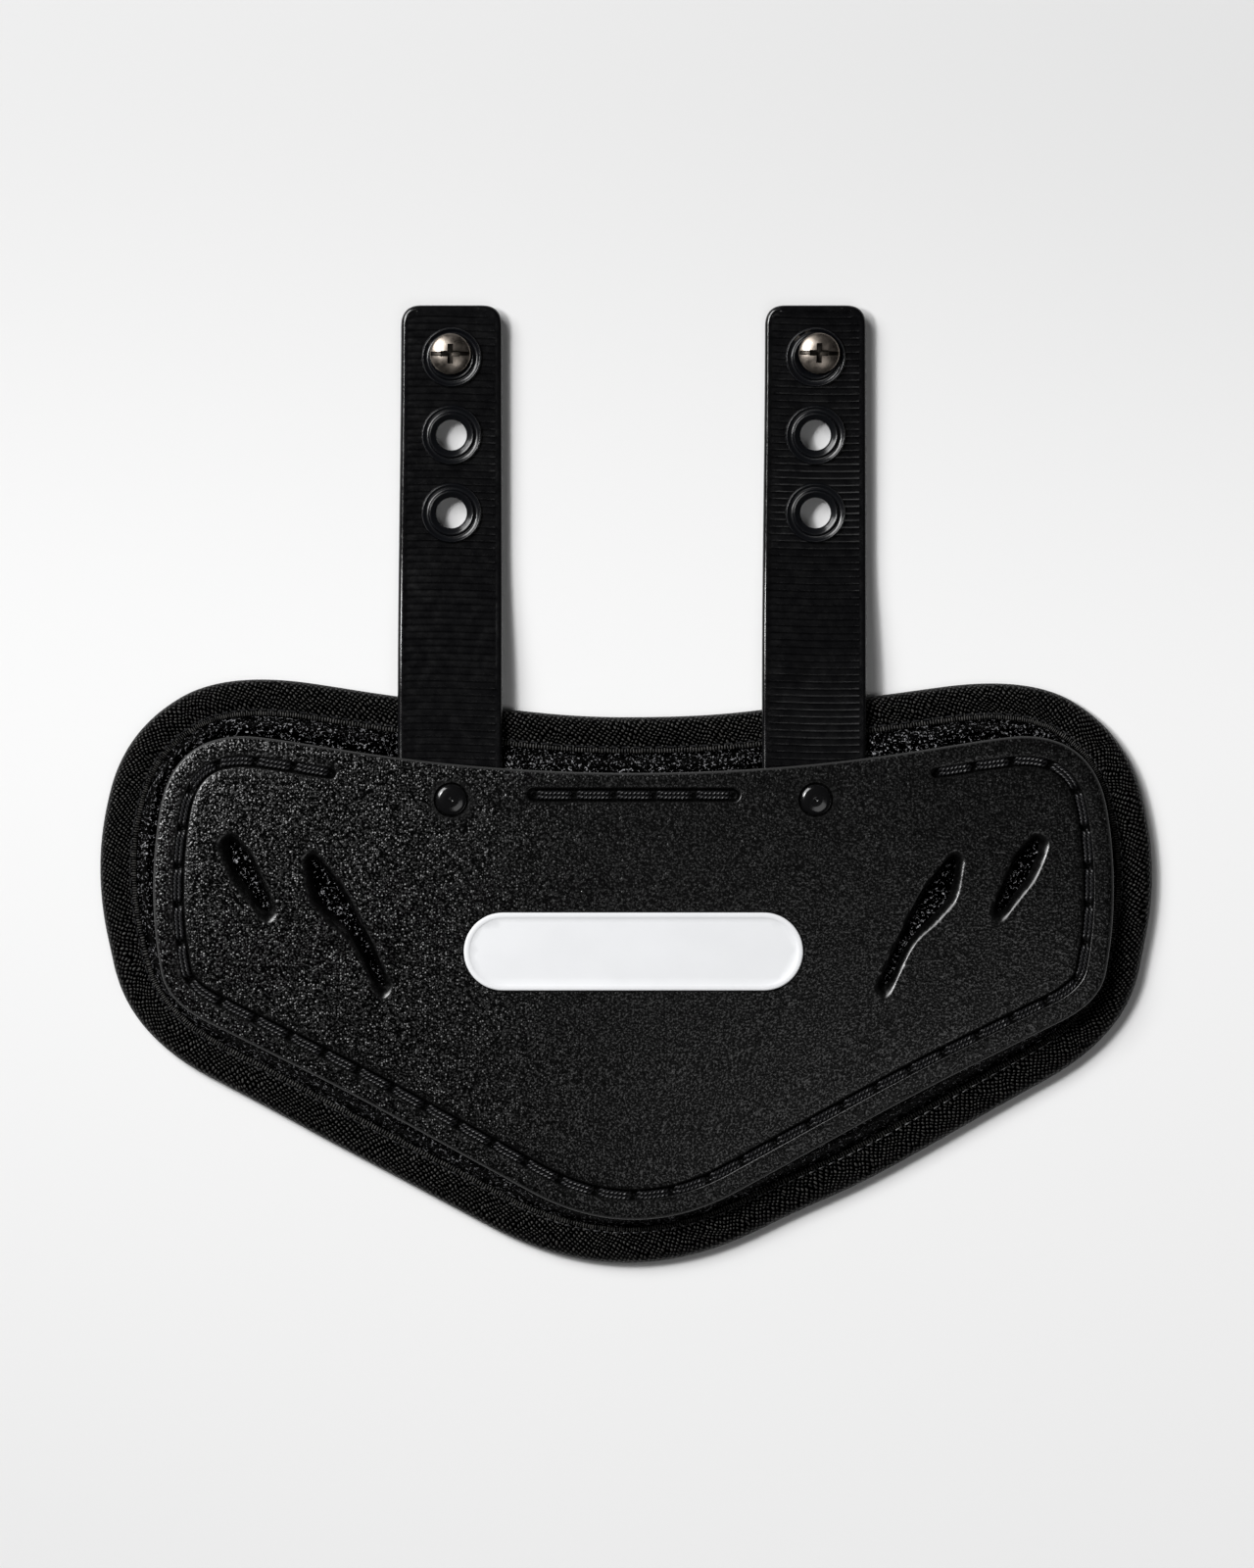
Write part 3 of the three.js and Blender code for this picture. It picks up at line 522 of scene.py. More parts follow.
def new_piece(name, vertices, faces, crease=35, corner_uv=None):
    """Puts whole arrays of vertices and faces into a mesh, in the row frame. The faces of one
    array all have the same number of corners. The frame's place of the plate is added to each
    vertex."""
    place = [AXIS_X, REACH_Y - strap_reach(), 0]
    mesh = bpy.data.meshes.new(name)
    mesh.vertices.add(len(vertices))
    mesh.vertices.foreach_set("co", (vertices + place).astype(np.float32).ravel())
    corners = np.concatenate([f.ravel() for f in faces]).astype(np.int32)
    counts = np.concatenate([np.full(len(f), f.shape[1]) for f in faces])
    starts = np.concatenate([[0], np.cumsum(counts)[:-1]]).astype(np.int32)
    mesh.loops.add(len(corners))
    mesh.loops.foreach_set("vertex_index", corners)
    mesh.polygons.add(len(counts))
    mesh.polygons.foreach_set("loop_start", starts)
    mesh.update(calc_edges=True)
    mesh.polygons.foreach_set("use_smooth", np.ones(len(counts), bool))
    mesh.set_sharp_from_angle(angle=math.radians(crease))
    if corner_uv is not None:
        layer = mesh.uv_layers.new(name="surface")
        layer.data.foreach_set("uv", np.concatenate(corner_uv).astype(np.float32).ravel())
    return linked(name, mesh)


def dress(piece, material, slot, *nodes):
    """Gives a piece its material, lets it ride on the body and stand for its nodes. Its slot is not used.
    """
    piece.data.materials.append(material)
    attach(piece, "root")
    if nodes:
        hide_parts(*nodes)


def lifted(flat, height):
    """Flat points with a height each."""
    return np.concatenate([flat, height[..., None]], axis=-1)


def add_weight(piece, name, values):
    """A value per vertex that a material reads by name."""
    attribute = piece.data.attributes.new(name, "FLOAT", "POINT")
    attribute.data.foreach_set("value", values.astype(np.float32))


def grid_faces(rows, columns, closed_rows, closed_columns):
    """Quads of a grid of rows and columns, which may close on itself either way, with the
    unwrapped row and column of each face corner."""
    r = np.arange(rows if closed_rows else rows - 1)
    c = np.arange(columns if closed_columns else columns - 1)
    row, column = np.meshgrid(r, c, indexing="ij")
    row, column = row.ravel(), column.ravel()
    corner_rows = np.stack([row, row, row + 1, row + 1], axis=1)
    corner_columns = np.stack([column, column + 1, column + 1, column], axis=1)
    quads = (corner_rows % rows) * columns + corner_columns % columns
    return quads, corner_rows, corner_columns


def hexagonal(loop, spacing):
    """Points in staggered rows over the rectangle that holds a loop."""
    low, high = loop.min(0), loop.max(0)
    xs = np.arange(low[0], high[0] + spacing, spacing)
    ys = np.arange(low[1], high[1] + spacing, spacing * math.sqrt(3) / 2)
    x, y = np.meshgrid(xs, ys)
    x = x + (np.arange(len(ys)) % 2)[:, None] * spacing / 2
    return np.stack([x.ravel(), y.ravel()], axis=1)


def plan(edge, holes, lines, fills):
    """Triangles over the flat region inside the edge and outside the holes, with the feature
    lines, which are closed loops, as edges. Each fill is some points and how far they keep from
    every loop."""
    points, edges, count = [], [], 0
    for loop in (edge, *holes, *lines):
        index = np.arange(len(loop)) + count
        edges.append(np.stack([index, np.roll(index, -1)], axis=1))
        points.append(loop)
        count += len(loop)
    everything = np.vstack(points)
    for fill, clear in fills:
        fill = fill[inside(fill, edge)]
        for hole in holes:
            fill = fill[~inside(fill, hole)]
        points.append(fill[farther_than(fill, everything, clear)])
    made = delaunay_2d_cdt([Vector(p) for p in (np.vstack(points) / MM).tolist()],
                           np.vstack(edges).tolist(), [], 0, 1e-4)
    points = np.array([tuple(v) for v in made[0]]) * MM
    triangles = np.array(made[2])
    middle = points[triangles].mean(1)
    keep = inside(middle, edge)
    for hole in holes:
        keep &= ~inside(middle, hole)
    triangles = triangles[keep]
    a, b, c = (points[triangles[:, k]] for k in range(3))
    area = (b[:, 0] - a[:, 0]) * (c[:, 1] - a[:, 1]) - (b[:, 1] - a[:, 1]) * (c[:, 0] - a[:, 0])
    triangles[area < 0] = triangles[area < 0][:, ::-1]
    used, renumbered = np.unique(triangles, return_inverse=True)
    return points[used], renumbered.reshape(-1, 3)


def farther_than(points, others, clear):
    """True where no other point lies within a distance."""
    found = np.ones(len(points), bool)
    for chunk in chunks(points, others, 4_000_000):
        away = ((points[chunk][:, None] - others[None]) ** 2).sum(2).min(1)
        found[chunk] = away > clear ** 2
    return found


def two_sided(flat, top, under):
    """A closed body over a plan: its triangles at the top heights, the same ones turned over at
    the under heights, and a wall along every edge that has a triangle on one side only."""
    points, triangles = flat
    count = len(points)
    vertices = np.vstack([lifted(points, top), lifted(points, under)])
    pairs = np.vstack([triangles[:, [0, 1]], triangles[:, [1, 2]], triangles[:, [2, 0]]])
    there = pairs[:, 0] * count + pairs[:, 1]
    back = pairs[:, 1] * count + pairs[:, 0]
    rim = pairs[~np.isin(there, back)]
    walls = np.stack([rim[:, 0], rim[:, 0] + count, rim[:, 1] + count, rim[:, 1]], axis=1)
    return vertices, [triangles, triangles[:, ::-1] + count, walls]


def turned(profile, centre, base, segments=72):
    """A lathe turns a closed profile of radius and height round an upright axis. A profile that
    starts and ends on the axis keeps one point at each pole."""
    angle = np.arange(segments) * 2 * math.pi / segments
    on_axis = profile[0, 0] < 1e-9
    body = profile[1:-1] if on_axis else profile
    radius, height = body[:, 0][:, None], body[:, 1][:, None]
    x = centre[0] + radius * np.cos(angle)
    y = centre[1] + radius * np.sin(angle)
    z = base + height + 0 * angle
    vertices = np.stack([x, y, z], axis=2).reshape(-1, 3)
    quads, _, _ = grid_faces(len(body), segments, not on_axis, True)
    faces = [quads[:, ::-1]]
    if on_axis:
        ring = np.arange(segments)
        following = np.roll(ring, -1)
        low, high = len(vertices), len(vertices) + 1
        last = (len(body) - 1) * segments
        poles = [[centre[0], centre[1], base + end] for end in (profile[0, 1], profile[-1, 1])]
        vertices = np.vstack([vertices, poles])
        faces.append(np.stack([following, ring, np.full(segments, low)], axis=1))
        faces.append(np.stack([last + ring, last + following, np.full(segments, high)], axis=1))
    return vertices, outwards(vertices, faces)


def outwards(vertices, faces):
    """The same faces, all turned round if the volume that they enclose comes out negative."""
    triangles = np.vstack([f[:, :3] for f in faces]
                          + [f[:, [0, 2, 3]] for f in faces if f.shape[1] == 4])
    a, b, c = (vertices[triangles[:, k]] for k in range(3))
    volume = np.einsum("ij,ij->", a, np.cross(b, c))
    return faces if volume > 0 else [f[:, ::-1] for f in faces]


def rounded_profile(corners, share, closed, steps=6):
    """A profile of radius and height in millimetres, with each corner bent over a share of its
    edges."""
    places = [(np.array(c, float) * MM, share, share) for c in corners]
    return parabolas(places, closed, steps)


PLY_SHARE = 0.56


def ropes(centres, radius, ply, lay, sides):
    """Twisted threads. Each row of centres is the middle of one stitch; its plies wind round it,
    one turn for each lay of length, and each ply is a tube whose rings stand across the path."""
    count, along = centres.shape[:2]
    tangent = np.gradient(centres, axis=1)
    tangent /= np.linalg.norm(tangent, axis=2, keepdims=True)
    side = np.cross(tangent, [0, 0, 1.0])
    side /= np.linalg.norm(side, axis=2, keepdims=True)
    up = np.cross(side, tangent)
    run = np.concatenate([np.zeros((count, 1)),
                          np.cumsum(np.linalg.norm(np.diff(centres, axis=1), axis=2), axis=1)], axis=1)
    strand = np.arange(ply)
    turn = 2 * math.pi * (run[:, None] / lay + strand[None, :, None] / ply)
    ply_radius = radius if ply == 1 else radius * PLY_SHARE
    offset = 0 if ply == 1 else radius - ply_radius
    middle = centres[:, None] + offset * (np.cos(turn)[..., None] * side[:, None]
                                          + np.sin(turn)[..., None] * up[:, None])
    angle = np.arange(sides) * 2 * math.pi / sides
    ring = (np.cos(angle)[:, None] * side[:, None, :, None]
            + np.sin(angle)[:, None] * up[:, None, :, None])
    vertices = (middle[..., None, :] + ply_radius * ring).reshape(-1, 3)
    one, _, _ = grid_faces(along, sides, False, True)
    tubes = np.arange(count * ply)[:, None, None] * along * sides
    quads = (one[None, :, ::-1] + tubes).reshape(-1, 4)
    ring_index = np.arange(sides)
    first = (ring_index[None] + tubes[:, 0]).reshape(-1, sides)
    last = (ring_index[None, ::-1] + tubes[:, 0] + (along - 1) * sides).reshape(-1, sides)
    return vertices, outwards(vertices, [quads]) + [first[:, ::-1], last[:, ::-1]]


def noise_along(count, period, seed):
    """A smooth random wave along a closed path: a random value once in every period of points,
    joined by cosines."""
    rng = np.random.default_rng(seed)
    knots = rng.uniform(-1, 1, max(int(count / period), 4))
    at = np.arange(count) / count * len(knots)
    low = at.astype(int) % len(knots)
    high = (low + 1) % len(knots)
    share = (1 - np.cos((at - at.astype(int)) * math.pi)) / 2
    return knots[low] * (1 - share) + knots[high] * share


def around(path, reach):
    """A closed loop at one distance from an open path: both sides and a half circle at each end."""
    normal = left_normals(path, False)
    turn = np.linspace(0, math.pi, max(int(math.pi * reach / MM), 5) + 2)[1:-1, None]
    forward = np.stack([normal[:, 1], -normal[:, 0]], axis=1)
    front = path[-1] + reach * (np.cos(turn) * -normal[-1] + np.sin(turn) * forward[-1])
    back = path[0] + reach * (np.cos(turn) * normal[0] - np.sin(turn) * forward[0])
    return np.vstack([path - normal * reach, front, (path + normal * reach)[::-1], back])


def rectangle(half_x, half_y, spacing):
    """A rectangle's outline round the origin at even steps."""
    corners = np.array([[-half_x, -half_y], [half_x, -half_y], [half_x, half_y], [-half_x, half_y]])
    return even_steps(corners, spacing)


def groove_line():
    """The plate's edge moved inwards, left open across the top between the groove's ends."""
    s = sizes()
    edge = inset(plate_outline(1.2 * MM), s.groove_inset)
    across_top = (np.abs(edge[:, 0]) < s.groove_end) & (edge[:, 1] > s.pad_below + s.plate_height / 2)
    after_gap = np.flatnonzero(across_top & ~np.roll(across_top, -1))[0] + 1
    rolled = np.roll(edge, -after_gap, axis=0)
    return rolled[~np.roll(across_top, -after_gap)]


def channel_line():
    """The middle line of the short channel at the top of the plate."""
    s = sizes()
    edge = plate_outline(1.2 * MM)
    top = edge[(np.abs(edge[:, 0]) < 2 * MM) & (edge[:, 1] > s.plate_height / 2), 1].max()
    half = (s.channel_length - s.channel_width) / 2
    x = np.linspace(-half, half, 60)
    return np.stack([x, np.full(60, top - s.channel_below)], axis=1)


STITCH_SHARE = 0.8


def stitch_ends(path):
    """Places along a path where the plate's thread goes down, a whole number of stitches apart,
    and the distance of each of the path's points from its start."""
    run = run_along(path)
    count = max(int(round(run[-1] / sizes().stitch_pitch)), 1)
    return np.linspace(0, run[-1], count + 1), run


# Pieces

# How far in from an edge its loops lie, as shares of the quarter-round's radius
ROUND_SHARES = (0.049, 0.19, 0.5, 1)
EDGE_ROUND = 0.9 * MM
EDGE_FALL, EDGE_FALL_REACH = 0.012, 6.5 * MM
GROOVE_WALL, CHANNEL_WALL, WALL_FOOT = 0.7 * MM, 0.9 * MM, 0.2 * MM
LIP_REACH, LIP_DROP = 0.4 * MM, 0.1 * MM
STITCH_HOLE_DEPTH = 0.75 * MM
RIVET_SEAT, RIVET_SEAT_EDGE, RIVET_SEAT_DEPTH = 4.8 * MM, 5.4 * MM, 0.8 * MM
BADGE_SEAT_DEPTH = 0.9 * MM
VENT_BEND, VENT_LEDGE = 0.45 * MM, 0.4 * MM
LEAST_SKIN = 0.35 * MM


def make_plate(material):
    """A moulded sheet over the plate's plan. Its top is the crown less the quarter-round at the
    edge, a U-shaped groove and channel with lips rounded by wear, a hole under each stitch end, two round
    countersinks, the badge's seat, and each vent's wall, which falls from the mouth to the throat
    in proportion to the distances to the two. Its underside is the crown less the thickness. It
    carries, for the material, where its skin is polished, where painted shade darkens its recesses and
    where a painted highlight lines its edge."""
    s = sizes()
    edge = plate_outline(1.3 * MM)
    rings = [inset(edge, EDGE_ROUND * share) for share in ROUND_SHARES]
    mouths, throats = vents(MOUTH_WALLS, 0.6 * MM), vents(THROAT_WALLS, 0.6 * MM)
    near_vents = [hull_round(mouth, NEAR_VENT, 1.2 * MM) for mouth in vents(MOUTH_WALLS, 1.2 * MM)]
    groove, channel = groove_line(), channel_line()
    half, wide = s.groove_width / 2, s.channel_width / 2
    lines = []
    for path, reach, wall in ((groove, half, GROOVE_WALL), (channel, wide, CHANNEL_WALL)):
        for step in (-wall, -wall / 2, 0, LIP_REACH / 2, LIP_REACH):
            lines.append(around(path, reach + step))
    holes_at = stitch_holes()
    for centre in holes_at:
        lines += [circle(centre, 0.35 * MM, 0.5 * MM), circle(centre, 0.75 * MM, 0.6 * MM)]
    rivets = [rivet_place(-1), rivet_place(1)]
    for centre in rivets:
        for radius in (RIVET_SEAT, (RIVET_SEAT + RIVET_SEAT_EDGE) / 2, RIVET_SEAT_EDGE):
            lines.append(circle(centre, radius, 0.9 * MM))
    lines += [badge_outline(0.35 * MM), badge_outline(0.15 * MM), *rings, *mouths, *near_vents]
    coarse = hexagonal(edge, 2.6 * MM)
    coarse = coarse[~np.any([inside(coarse, near) for near in near_vents], axis=0)]
    fine = np.vstack([hexagonal(near, 0.8 * MM) for near in near_vents])
    fine = fine[np.any([inside(fine, near) for near in near_vents], axis=0)]
    flat = plan(edge, throats, lines, [(coarse, 1.1 * MM), (fine, 0.35 * MM)])
    points = flat[0]

    to_edge = distance(points, edge)
    level = crown(points)
    drop = roundover(to_edge, EDGE_ROUND) + EDGE_FALL * np.maximum(EDGE_FALL_REACH - to_edge, 0)
    to_groove = distance(points, groove, closed=False)
    to_channel = distance(points, channel, closed=False)
    drop += s.groove_depth * (1 - smooth(to_groove, half - GROOVE_WALL, half + WALL_FOOT))
    drop += s.groove_depth * (1 - smooth(to_channel, wide - CHANNEL_WALL, wide + WALL_FOOT))
    to_lip = np.minimum(to_groove - half, to_channel - wide)
    drop += LIP_DROP * (1 - smooth(to_lip, 0.03 * MM, LIP_REACH))
    to_hole = np.linalg.norm(points[:, None] - holes_at[None], axis=2).min(1)
    drop += STITCH_HOLE_DEPTH * (1 - smooth(to_hole, 0.2 * MM, 0.9 * MM))
    to_rivet = np.linalg.norm(points[:, None] - np.array(rivets)[None], axis=2).min(1)
    drop += RIVET_SEAT_DEPTH * (1 - smooth(to_rivet, RIVET_SEAT, RIVET_SEAT_EDGE))
    drop += np.where(inside(points, badge_outline(0.25 * MM)), BADGE_SEAT_DEPTH, 0)
    deep = s.plate_thickness - VENT_LEDGE
    vent_rim = np.zeros(len(points))
    for mouth, throat in zip(mouths, throats):
        to_mouth = distance(points, mouth)
        signed = np.where(inside(points, mouth), to_mouth, -to_mouth)
        bent = np.maximum(signed + VENT_BEND, 0) ** 2 / (4 * VENT_BEND)
        fall = np.where(signed > VENT_BEND, signed, bent)
        drop += deep * fall / (fall + distance(points, throat) + 1e-9)
        vent_rim = np.maximum(vent_rim, smooth(signed, -0.8 * MM, -0.2 * MM))
    top = level - drop
    under = np.minimum(level - s.plate_thickness, top - LEAST_SKIN)
    vertices, faces = two_sided(flat, top, under)
    piece = new_piece("plate_shell", vertices, faces, 40)
    polished = np.maximum.reduce([
        vent_rim, 1 - smooth(to_lip, 0.3 * MM, 0.45 * MM),
        1 - smooth(to_rivet, 5.3 * MM, 5.6 * MM), 1 - smooth(to_edge, 0.4 * MM, EDGE_ROUND)])
    # Painted highlight: a thin light line along the plate's rounded edge
    painted_edge_highlight = smooth(to_edge, 0.02 * MM, 0.15 * MM) * (1 - smooth(to_edge, 0.45 * MM, EDGE_ROUND))
    # Painted shade: the deeper the top is cut down, the darker the material paints it
    painted_recess_shade = smooth(drop, 0.45 * MM, 1.1 * MM)
    for name, above, below in (("painted_recess_shade", painted_recess_shade, 1), ("polished", polished, 0.5), ("painted_edge_highlight", painted_edge_highlight, 0)):
        add_weight(piece, name, np.concatenate([above, np.full(len(points), below)]))
    dress(piece, material, "plate_plastic", "plate")


def stitch_holes():
    """Where the plate's thread goes down: between the stitches of the groove and of the channel."""
    found = []
    for path in (groove_line(), channel_line()):
        at, run = stitch_ends(path)
        found.append(along_path(path, run, at))
    return np.vstack(found)


def badge_outline(grow):
    """The badge's stadium, grown all round by a distance."""
    s = sizes()
    centre = np.array([0, shoulder_y() - s.badge_down])
    return stadium(centre, s.badge_length + 2 * grow, s.badge_width + 2 * grow, 1.2 * MM)


BADGE_ROUND, BADGE_RIM, BADGE_FIELD = 0.5 * MM, 1.5 * MM, 1.9 * MM
BADGE_PROUD, BADGE_FIELD_DEPTH, BADGE_BED = 0.3 * MM, 0.22 * MM, 0.02 * MM


def make_badge(material):
    """A blank stadium on its seat: the crown and a little more, less a quarter-round at the edge,
    and less a shallow field that starts a rim's width in."""
    edge = badge_outline(-0.05 * MM)
    rings = [inset(edge, BADGE_ROUND * share) for share in ROUND_SHARES]
    rings += [inset(edge, depth) for depth in (BADGE_RIM, (BADGE_RIM + BADGE_FIELD) / 2, BADGE_FIELD)]
    flat = plan(edge, [], rings, [(hexagonal(edge, 2.4 * MM), 1 * MM)])
    depth = distance(flat[0], edge)
    level = crown(flat[0])
    top = (level + BADGE_PROUD - roundover(depth, BADGE_ROUND)
           - BADGE_FIELD_DEPTH * smooth(depth, BADGE_RIM, BADGE_FIELD))
    vertices, faces = two_sided(flat, top, level - BADGE_SEAT_DEPTH + BADGE_BED)
    dress(new_piece("badge_panel_blank", vertices, faces), material, "badge_white", "badge_panel")


# The pad's shoulder: depths in from the outline and heights, in millimetres
SHOULDER = ((0, 3.9), (11.1, 4.0), (11.5, 4.2), (11.9, 5.2), (12.5, 6.3), (13.3, 7.4), (14.4, 8.6),
            (16, 9.6), (18.5, 10.5), (24, 12.4), (40, 20))
TAIL_POCKET = 5.2 * MM


def pad_height(points, depth):
    """The pad's top: it comes out from under the binding, swells in a round shoulder to the
    plate's underside, and is pressed down under each strap and rivet tail. A product of two sines
    ripples the part that shows."""
    s = sizes()
    shoulder = np.array(SHOULDER) * MM
    ripple = 0.35 * MM * np.sin(points[:, 0] / 5.3 / MM) * np.sin(points[:, 1] / 4.1 / MM + 1.3)
    top = np.interp(depth, shoulder[:, 0], shoulder[:, 1])
    top = top + ripple * smooth(depth, 11.2 * MM, 13 * MM) * (1 - smooth(depth, 15 * MM, 18 * MM))
    ceiling = crown(points) - s.plate_thickness - s.gap
    plate = plate_outline(2 * MM)
    overhang = distance(points, plate)
    under_plate = np.where(inside(points, plate), overhang, -overhang)
    ceiling = ceiling + 3 * MM * (1 - smooth(under_plate, -4 * MM, -0.5 * MM))
    top = np.minimum(top, ceiling)
    for side in (-1, 1):
        beside = np.abs(points[:, 0] - side * s.strap_spacing / 2) - s.strap_width / 2
        pressed = np.minimum(top, strap_under(points[:, 1]) - s.gap)
        under_strap = (1 - smooth(beside, 0.3 * MM, 5 * MM)) * (points[:, 1] > strap_start() - 3 * MM)
        top = top + (pressed - top) * under_strap
        to_tail = np.linalg.norm(points - rivet_place(side), axis=1)
        pocket = strap_under(points[:, 1]) - 2 * MM
        top = np.where(to_tail < TAIL_POCKET, np.minimum(top, pocket), top)
    return top


KNIT_SWELL = 0.9 * MM
CLOTH_FRAMES = 20


def make_pad(material):
    """A knit-covered foam pad over its own plan, with its edge inside the binding. The underside
    is flat, and steps up where the binding passes under it. Between the binding and the plate the
    knit is left free and swells as cloth."""
    outer = pad_outline(1.5 * MM)
    edge = inset(outer, 3 * MM)
    rings = [inset(outer, depth * MM) for depth in (10.7, 11.4, 11.9, 12.4, 13, 13.8, 14.8, 16.2)]
    flat = plan(edge, [], rings, [(hexagonal(edge, 2.8 * MM), 1.1 * MM)])
    points = flat[0]
    depth = distance(points, outer)
    plate = plate_outline(2 * MM)
    outside = np.where(inside(points, plate), 0, distance(points, plate))
    beside = np.abs(np.abs(points[:, 0]) - sizes().strap_spacing / 2) - sizes().strap_width / 2
    free = (smooth(depth, 11.5 * MM, 12.8 * MM) * smooth(outside, 0.4 * MM, 2 * MM)
            * smooth(beside, 1 * MM, 4 * MM))
    top = pad_height(points, depth) - 0.5 * KNIT_SWELL * free
    under = 1.1 * MM * (1 - smooth(depth, 11.4 * MM, 11.9 * MM))
    vertices, faces = two_sided(flat, top, under)
    piece = new_piece("knit_pad", vertices, faces, 60)
    inflate(piece, np.concatenate([free, np.zeros(len(points))]), KNIT_SWELL)
    dress(piece, material, "knit_fabric", "pad")


def inflate(piece, free, cap):
    """Cloth: a copy of the piece, as supple as knit, is blown up from inside, held where it is
    not free, and the piece's own points follow it, none farther than the cap times how free
    it is."""
    scene = bpy.context.scene
    copy = linked("blown", piece.data.copy())
    held = copy.vertex_groups.new(name="held")
    held.add(np.flatnonzero(free < 0.02).tolist(), 1.0, "REPLACE")
    cloth = copy.modifiers.new("cloth", "CLOTH")
    cloth.settings.vertex_group_mass = "held"
    cloth.settings.use_pressure = True
    cloth.settings.uniform_pressure_force = 4
    cloth.settings.mass = 0.05
    cloth.settings.tension_stiffness = cloth.settings.compression_stiffness = 0.3
    cloth.settings.shear_stiffness, cloth.settings.bending_stiffness = 0.1, 0.05
    cloth.settings.effector_weights.gravity = 0
    cloth.settings.quality = 4
    for number in range(1, CLOTH_FRAMES + 1):
        scene.frame_set(number)
    blown = copy.evaluated_get(bpy.context.evaluated_depsgraph_get())
    start, end = np.empty(len(free) * 3, np.float32), np.empty(len(free) * 3, np.float32)
    piece.data.vertices.foreach_get("co", start)
    blown.data.vertices.foreach_get("co", end)
    start, moved = start.reshape(-1, 3), (end - start).reshape(-1, 3)
    far = np.linalg.norm(moved, axis=1, keepdims=True)
    limit = cap * free[:, None]
    moved = moved * np.minimum(1, limit / np.maximum(far, 1e-9))
    piece.data.vertices.foreach_set("co", (start + moved).astype(np.float32).ravel())
    piece.data.update()
    mesh = copy.data
    bpy.data.objects.remove(copy)
    bpy.data.meshes.remove(mesh)
    scene.frame_set(1)


# The folded tape's section: insets from the pad's outline and heights, in millimetres
BINDING_SECTION = (
    (11.3, 4.75), (11, 5.1), (9.8, 4.95), (9, 4.95), (6.6, 5.3), (3.4, 5.35), (1.0, 4.7), (0, 2.7),
    (0.9, 0.7), (3.2, 0), (11.3, 0), (11.3, 0.8), (3.8, 0.85), (1.1, 2.65), (3.8, 4.4), (11.3, 4.2),
)
BINDING_STITCH = 3.4 * MM
BINDING_SEAM = 9.4 * MM
BINDING_THREAD = 0.27 * MM


def make_binding(material, thread):
    """A folded tape: one closed section of inset and height, with its corners bent, carried round
    the pad's outline. Slow random waves lift its upper layer and shift its edge a little, and the
    upper layer dips at each stitch. Its UV runs along the tape and across it, in metres."""
    path = pad_outline(0.8 * MM)
    path = inset(path, 0.12 * MM + 0.12 * MM * noise_along(len(path), period=30, seed=3)[:, None])
    normal = left_normals(path)
    section = parabolas([(np.array(c) * MM, 0.35, 0.35) for c in BINDING_SECTION], True, 3)
    depth, height = section[:, 0], section[:, 1]
    upper = smooth(height, 2.7 * MM, 4.8 * MM) * smooth(depth, 2 * MM, 8 * MM)
    wave = (0.14 * MM * noise_along(len(path), period=9, seed=5)
            + 0.1 * MM * noise_along(len(path), period=24, seed=6))
    run = run_along(closed_path(path))
    count = int(round(run[-1] / BINDING_STITCH))
    at_stitch = np.cos(run[:-1] / run[-1] * count * 2 * math.pi)
    in_line = np.exp(-((depth - BINDING_SEAM) / (0.8 * MM)) ** 2)
    z = height + upper * (wave[:, None] - 0.12 * MM + 0.16 * MM * in_line * at_stitch[:, None])
    xy = path[:, None] + normal[:, None] * depth[None, :, None]
    vertices = lifted(xy, z).reshape(-1, 3)
    quads, rows, columns = grid_faces(len(path), len(section), True, True)
    uv = np.stack([run[rows], run_along(closed_path(section))[columns]], axis=2)
    faces = outwards(vertices, [quads])
    if faces[0] is not quads:
        uv = uv[:, ::-1]
    piece = new_piece("binding_tape_folded", vertices, faces, 60, [uv.reshape(-1, 2)])
    dress(piece, material, "binding_tape", "edge_binding")

    line = closed_path(path + normal * BINDING_SEAM)
    wave = np.append(wave, wave[0])
    middle = (np.arange(count) + 0.5) * run[-1] / count
    share = np.linspace(-0.5, 0.5, 6)
    at = middle[:, None] + share * BINDING_STITCH * STITCH_SHARE
    xy = along_path(line, run, at)
    z = 4.8 * MM + np.interp(at, run, wave) + 0.22 * MM * (1 - np.abs(2 * share) ** 3) - 0.22 * MM
    vertices, faces = ropes(lifted(xy, z), BINDING_THREAD, ply=1, lay=3 * MM, sides=5)
    dress(new_piece("binding_stitching", vertices, faces, 60), thread, "binding_tape")


HOLES = 3
STRAP_CORNER, STRAP_ROUND, STRAP_HOLE = 6.4 * MM, 1.25 * MM, 6.3 * MM
RIB_HEIGHT, RIB_SEAT = 0.12 * MM, 0.2 * MM


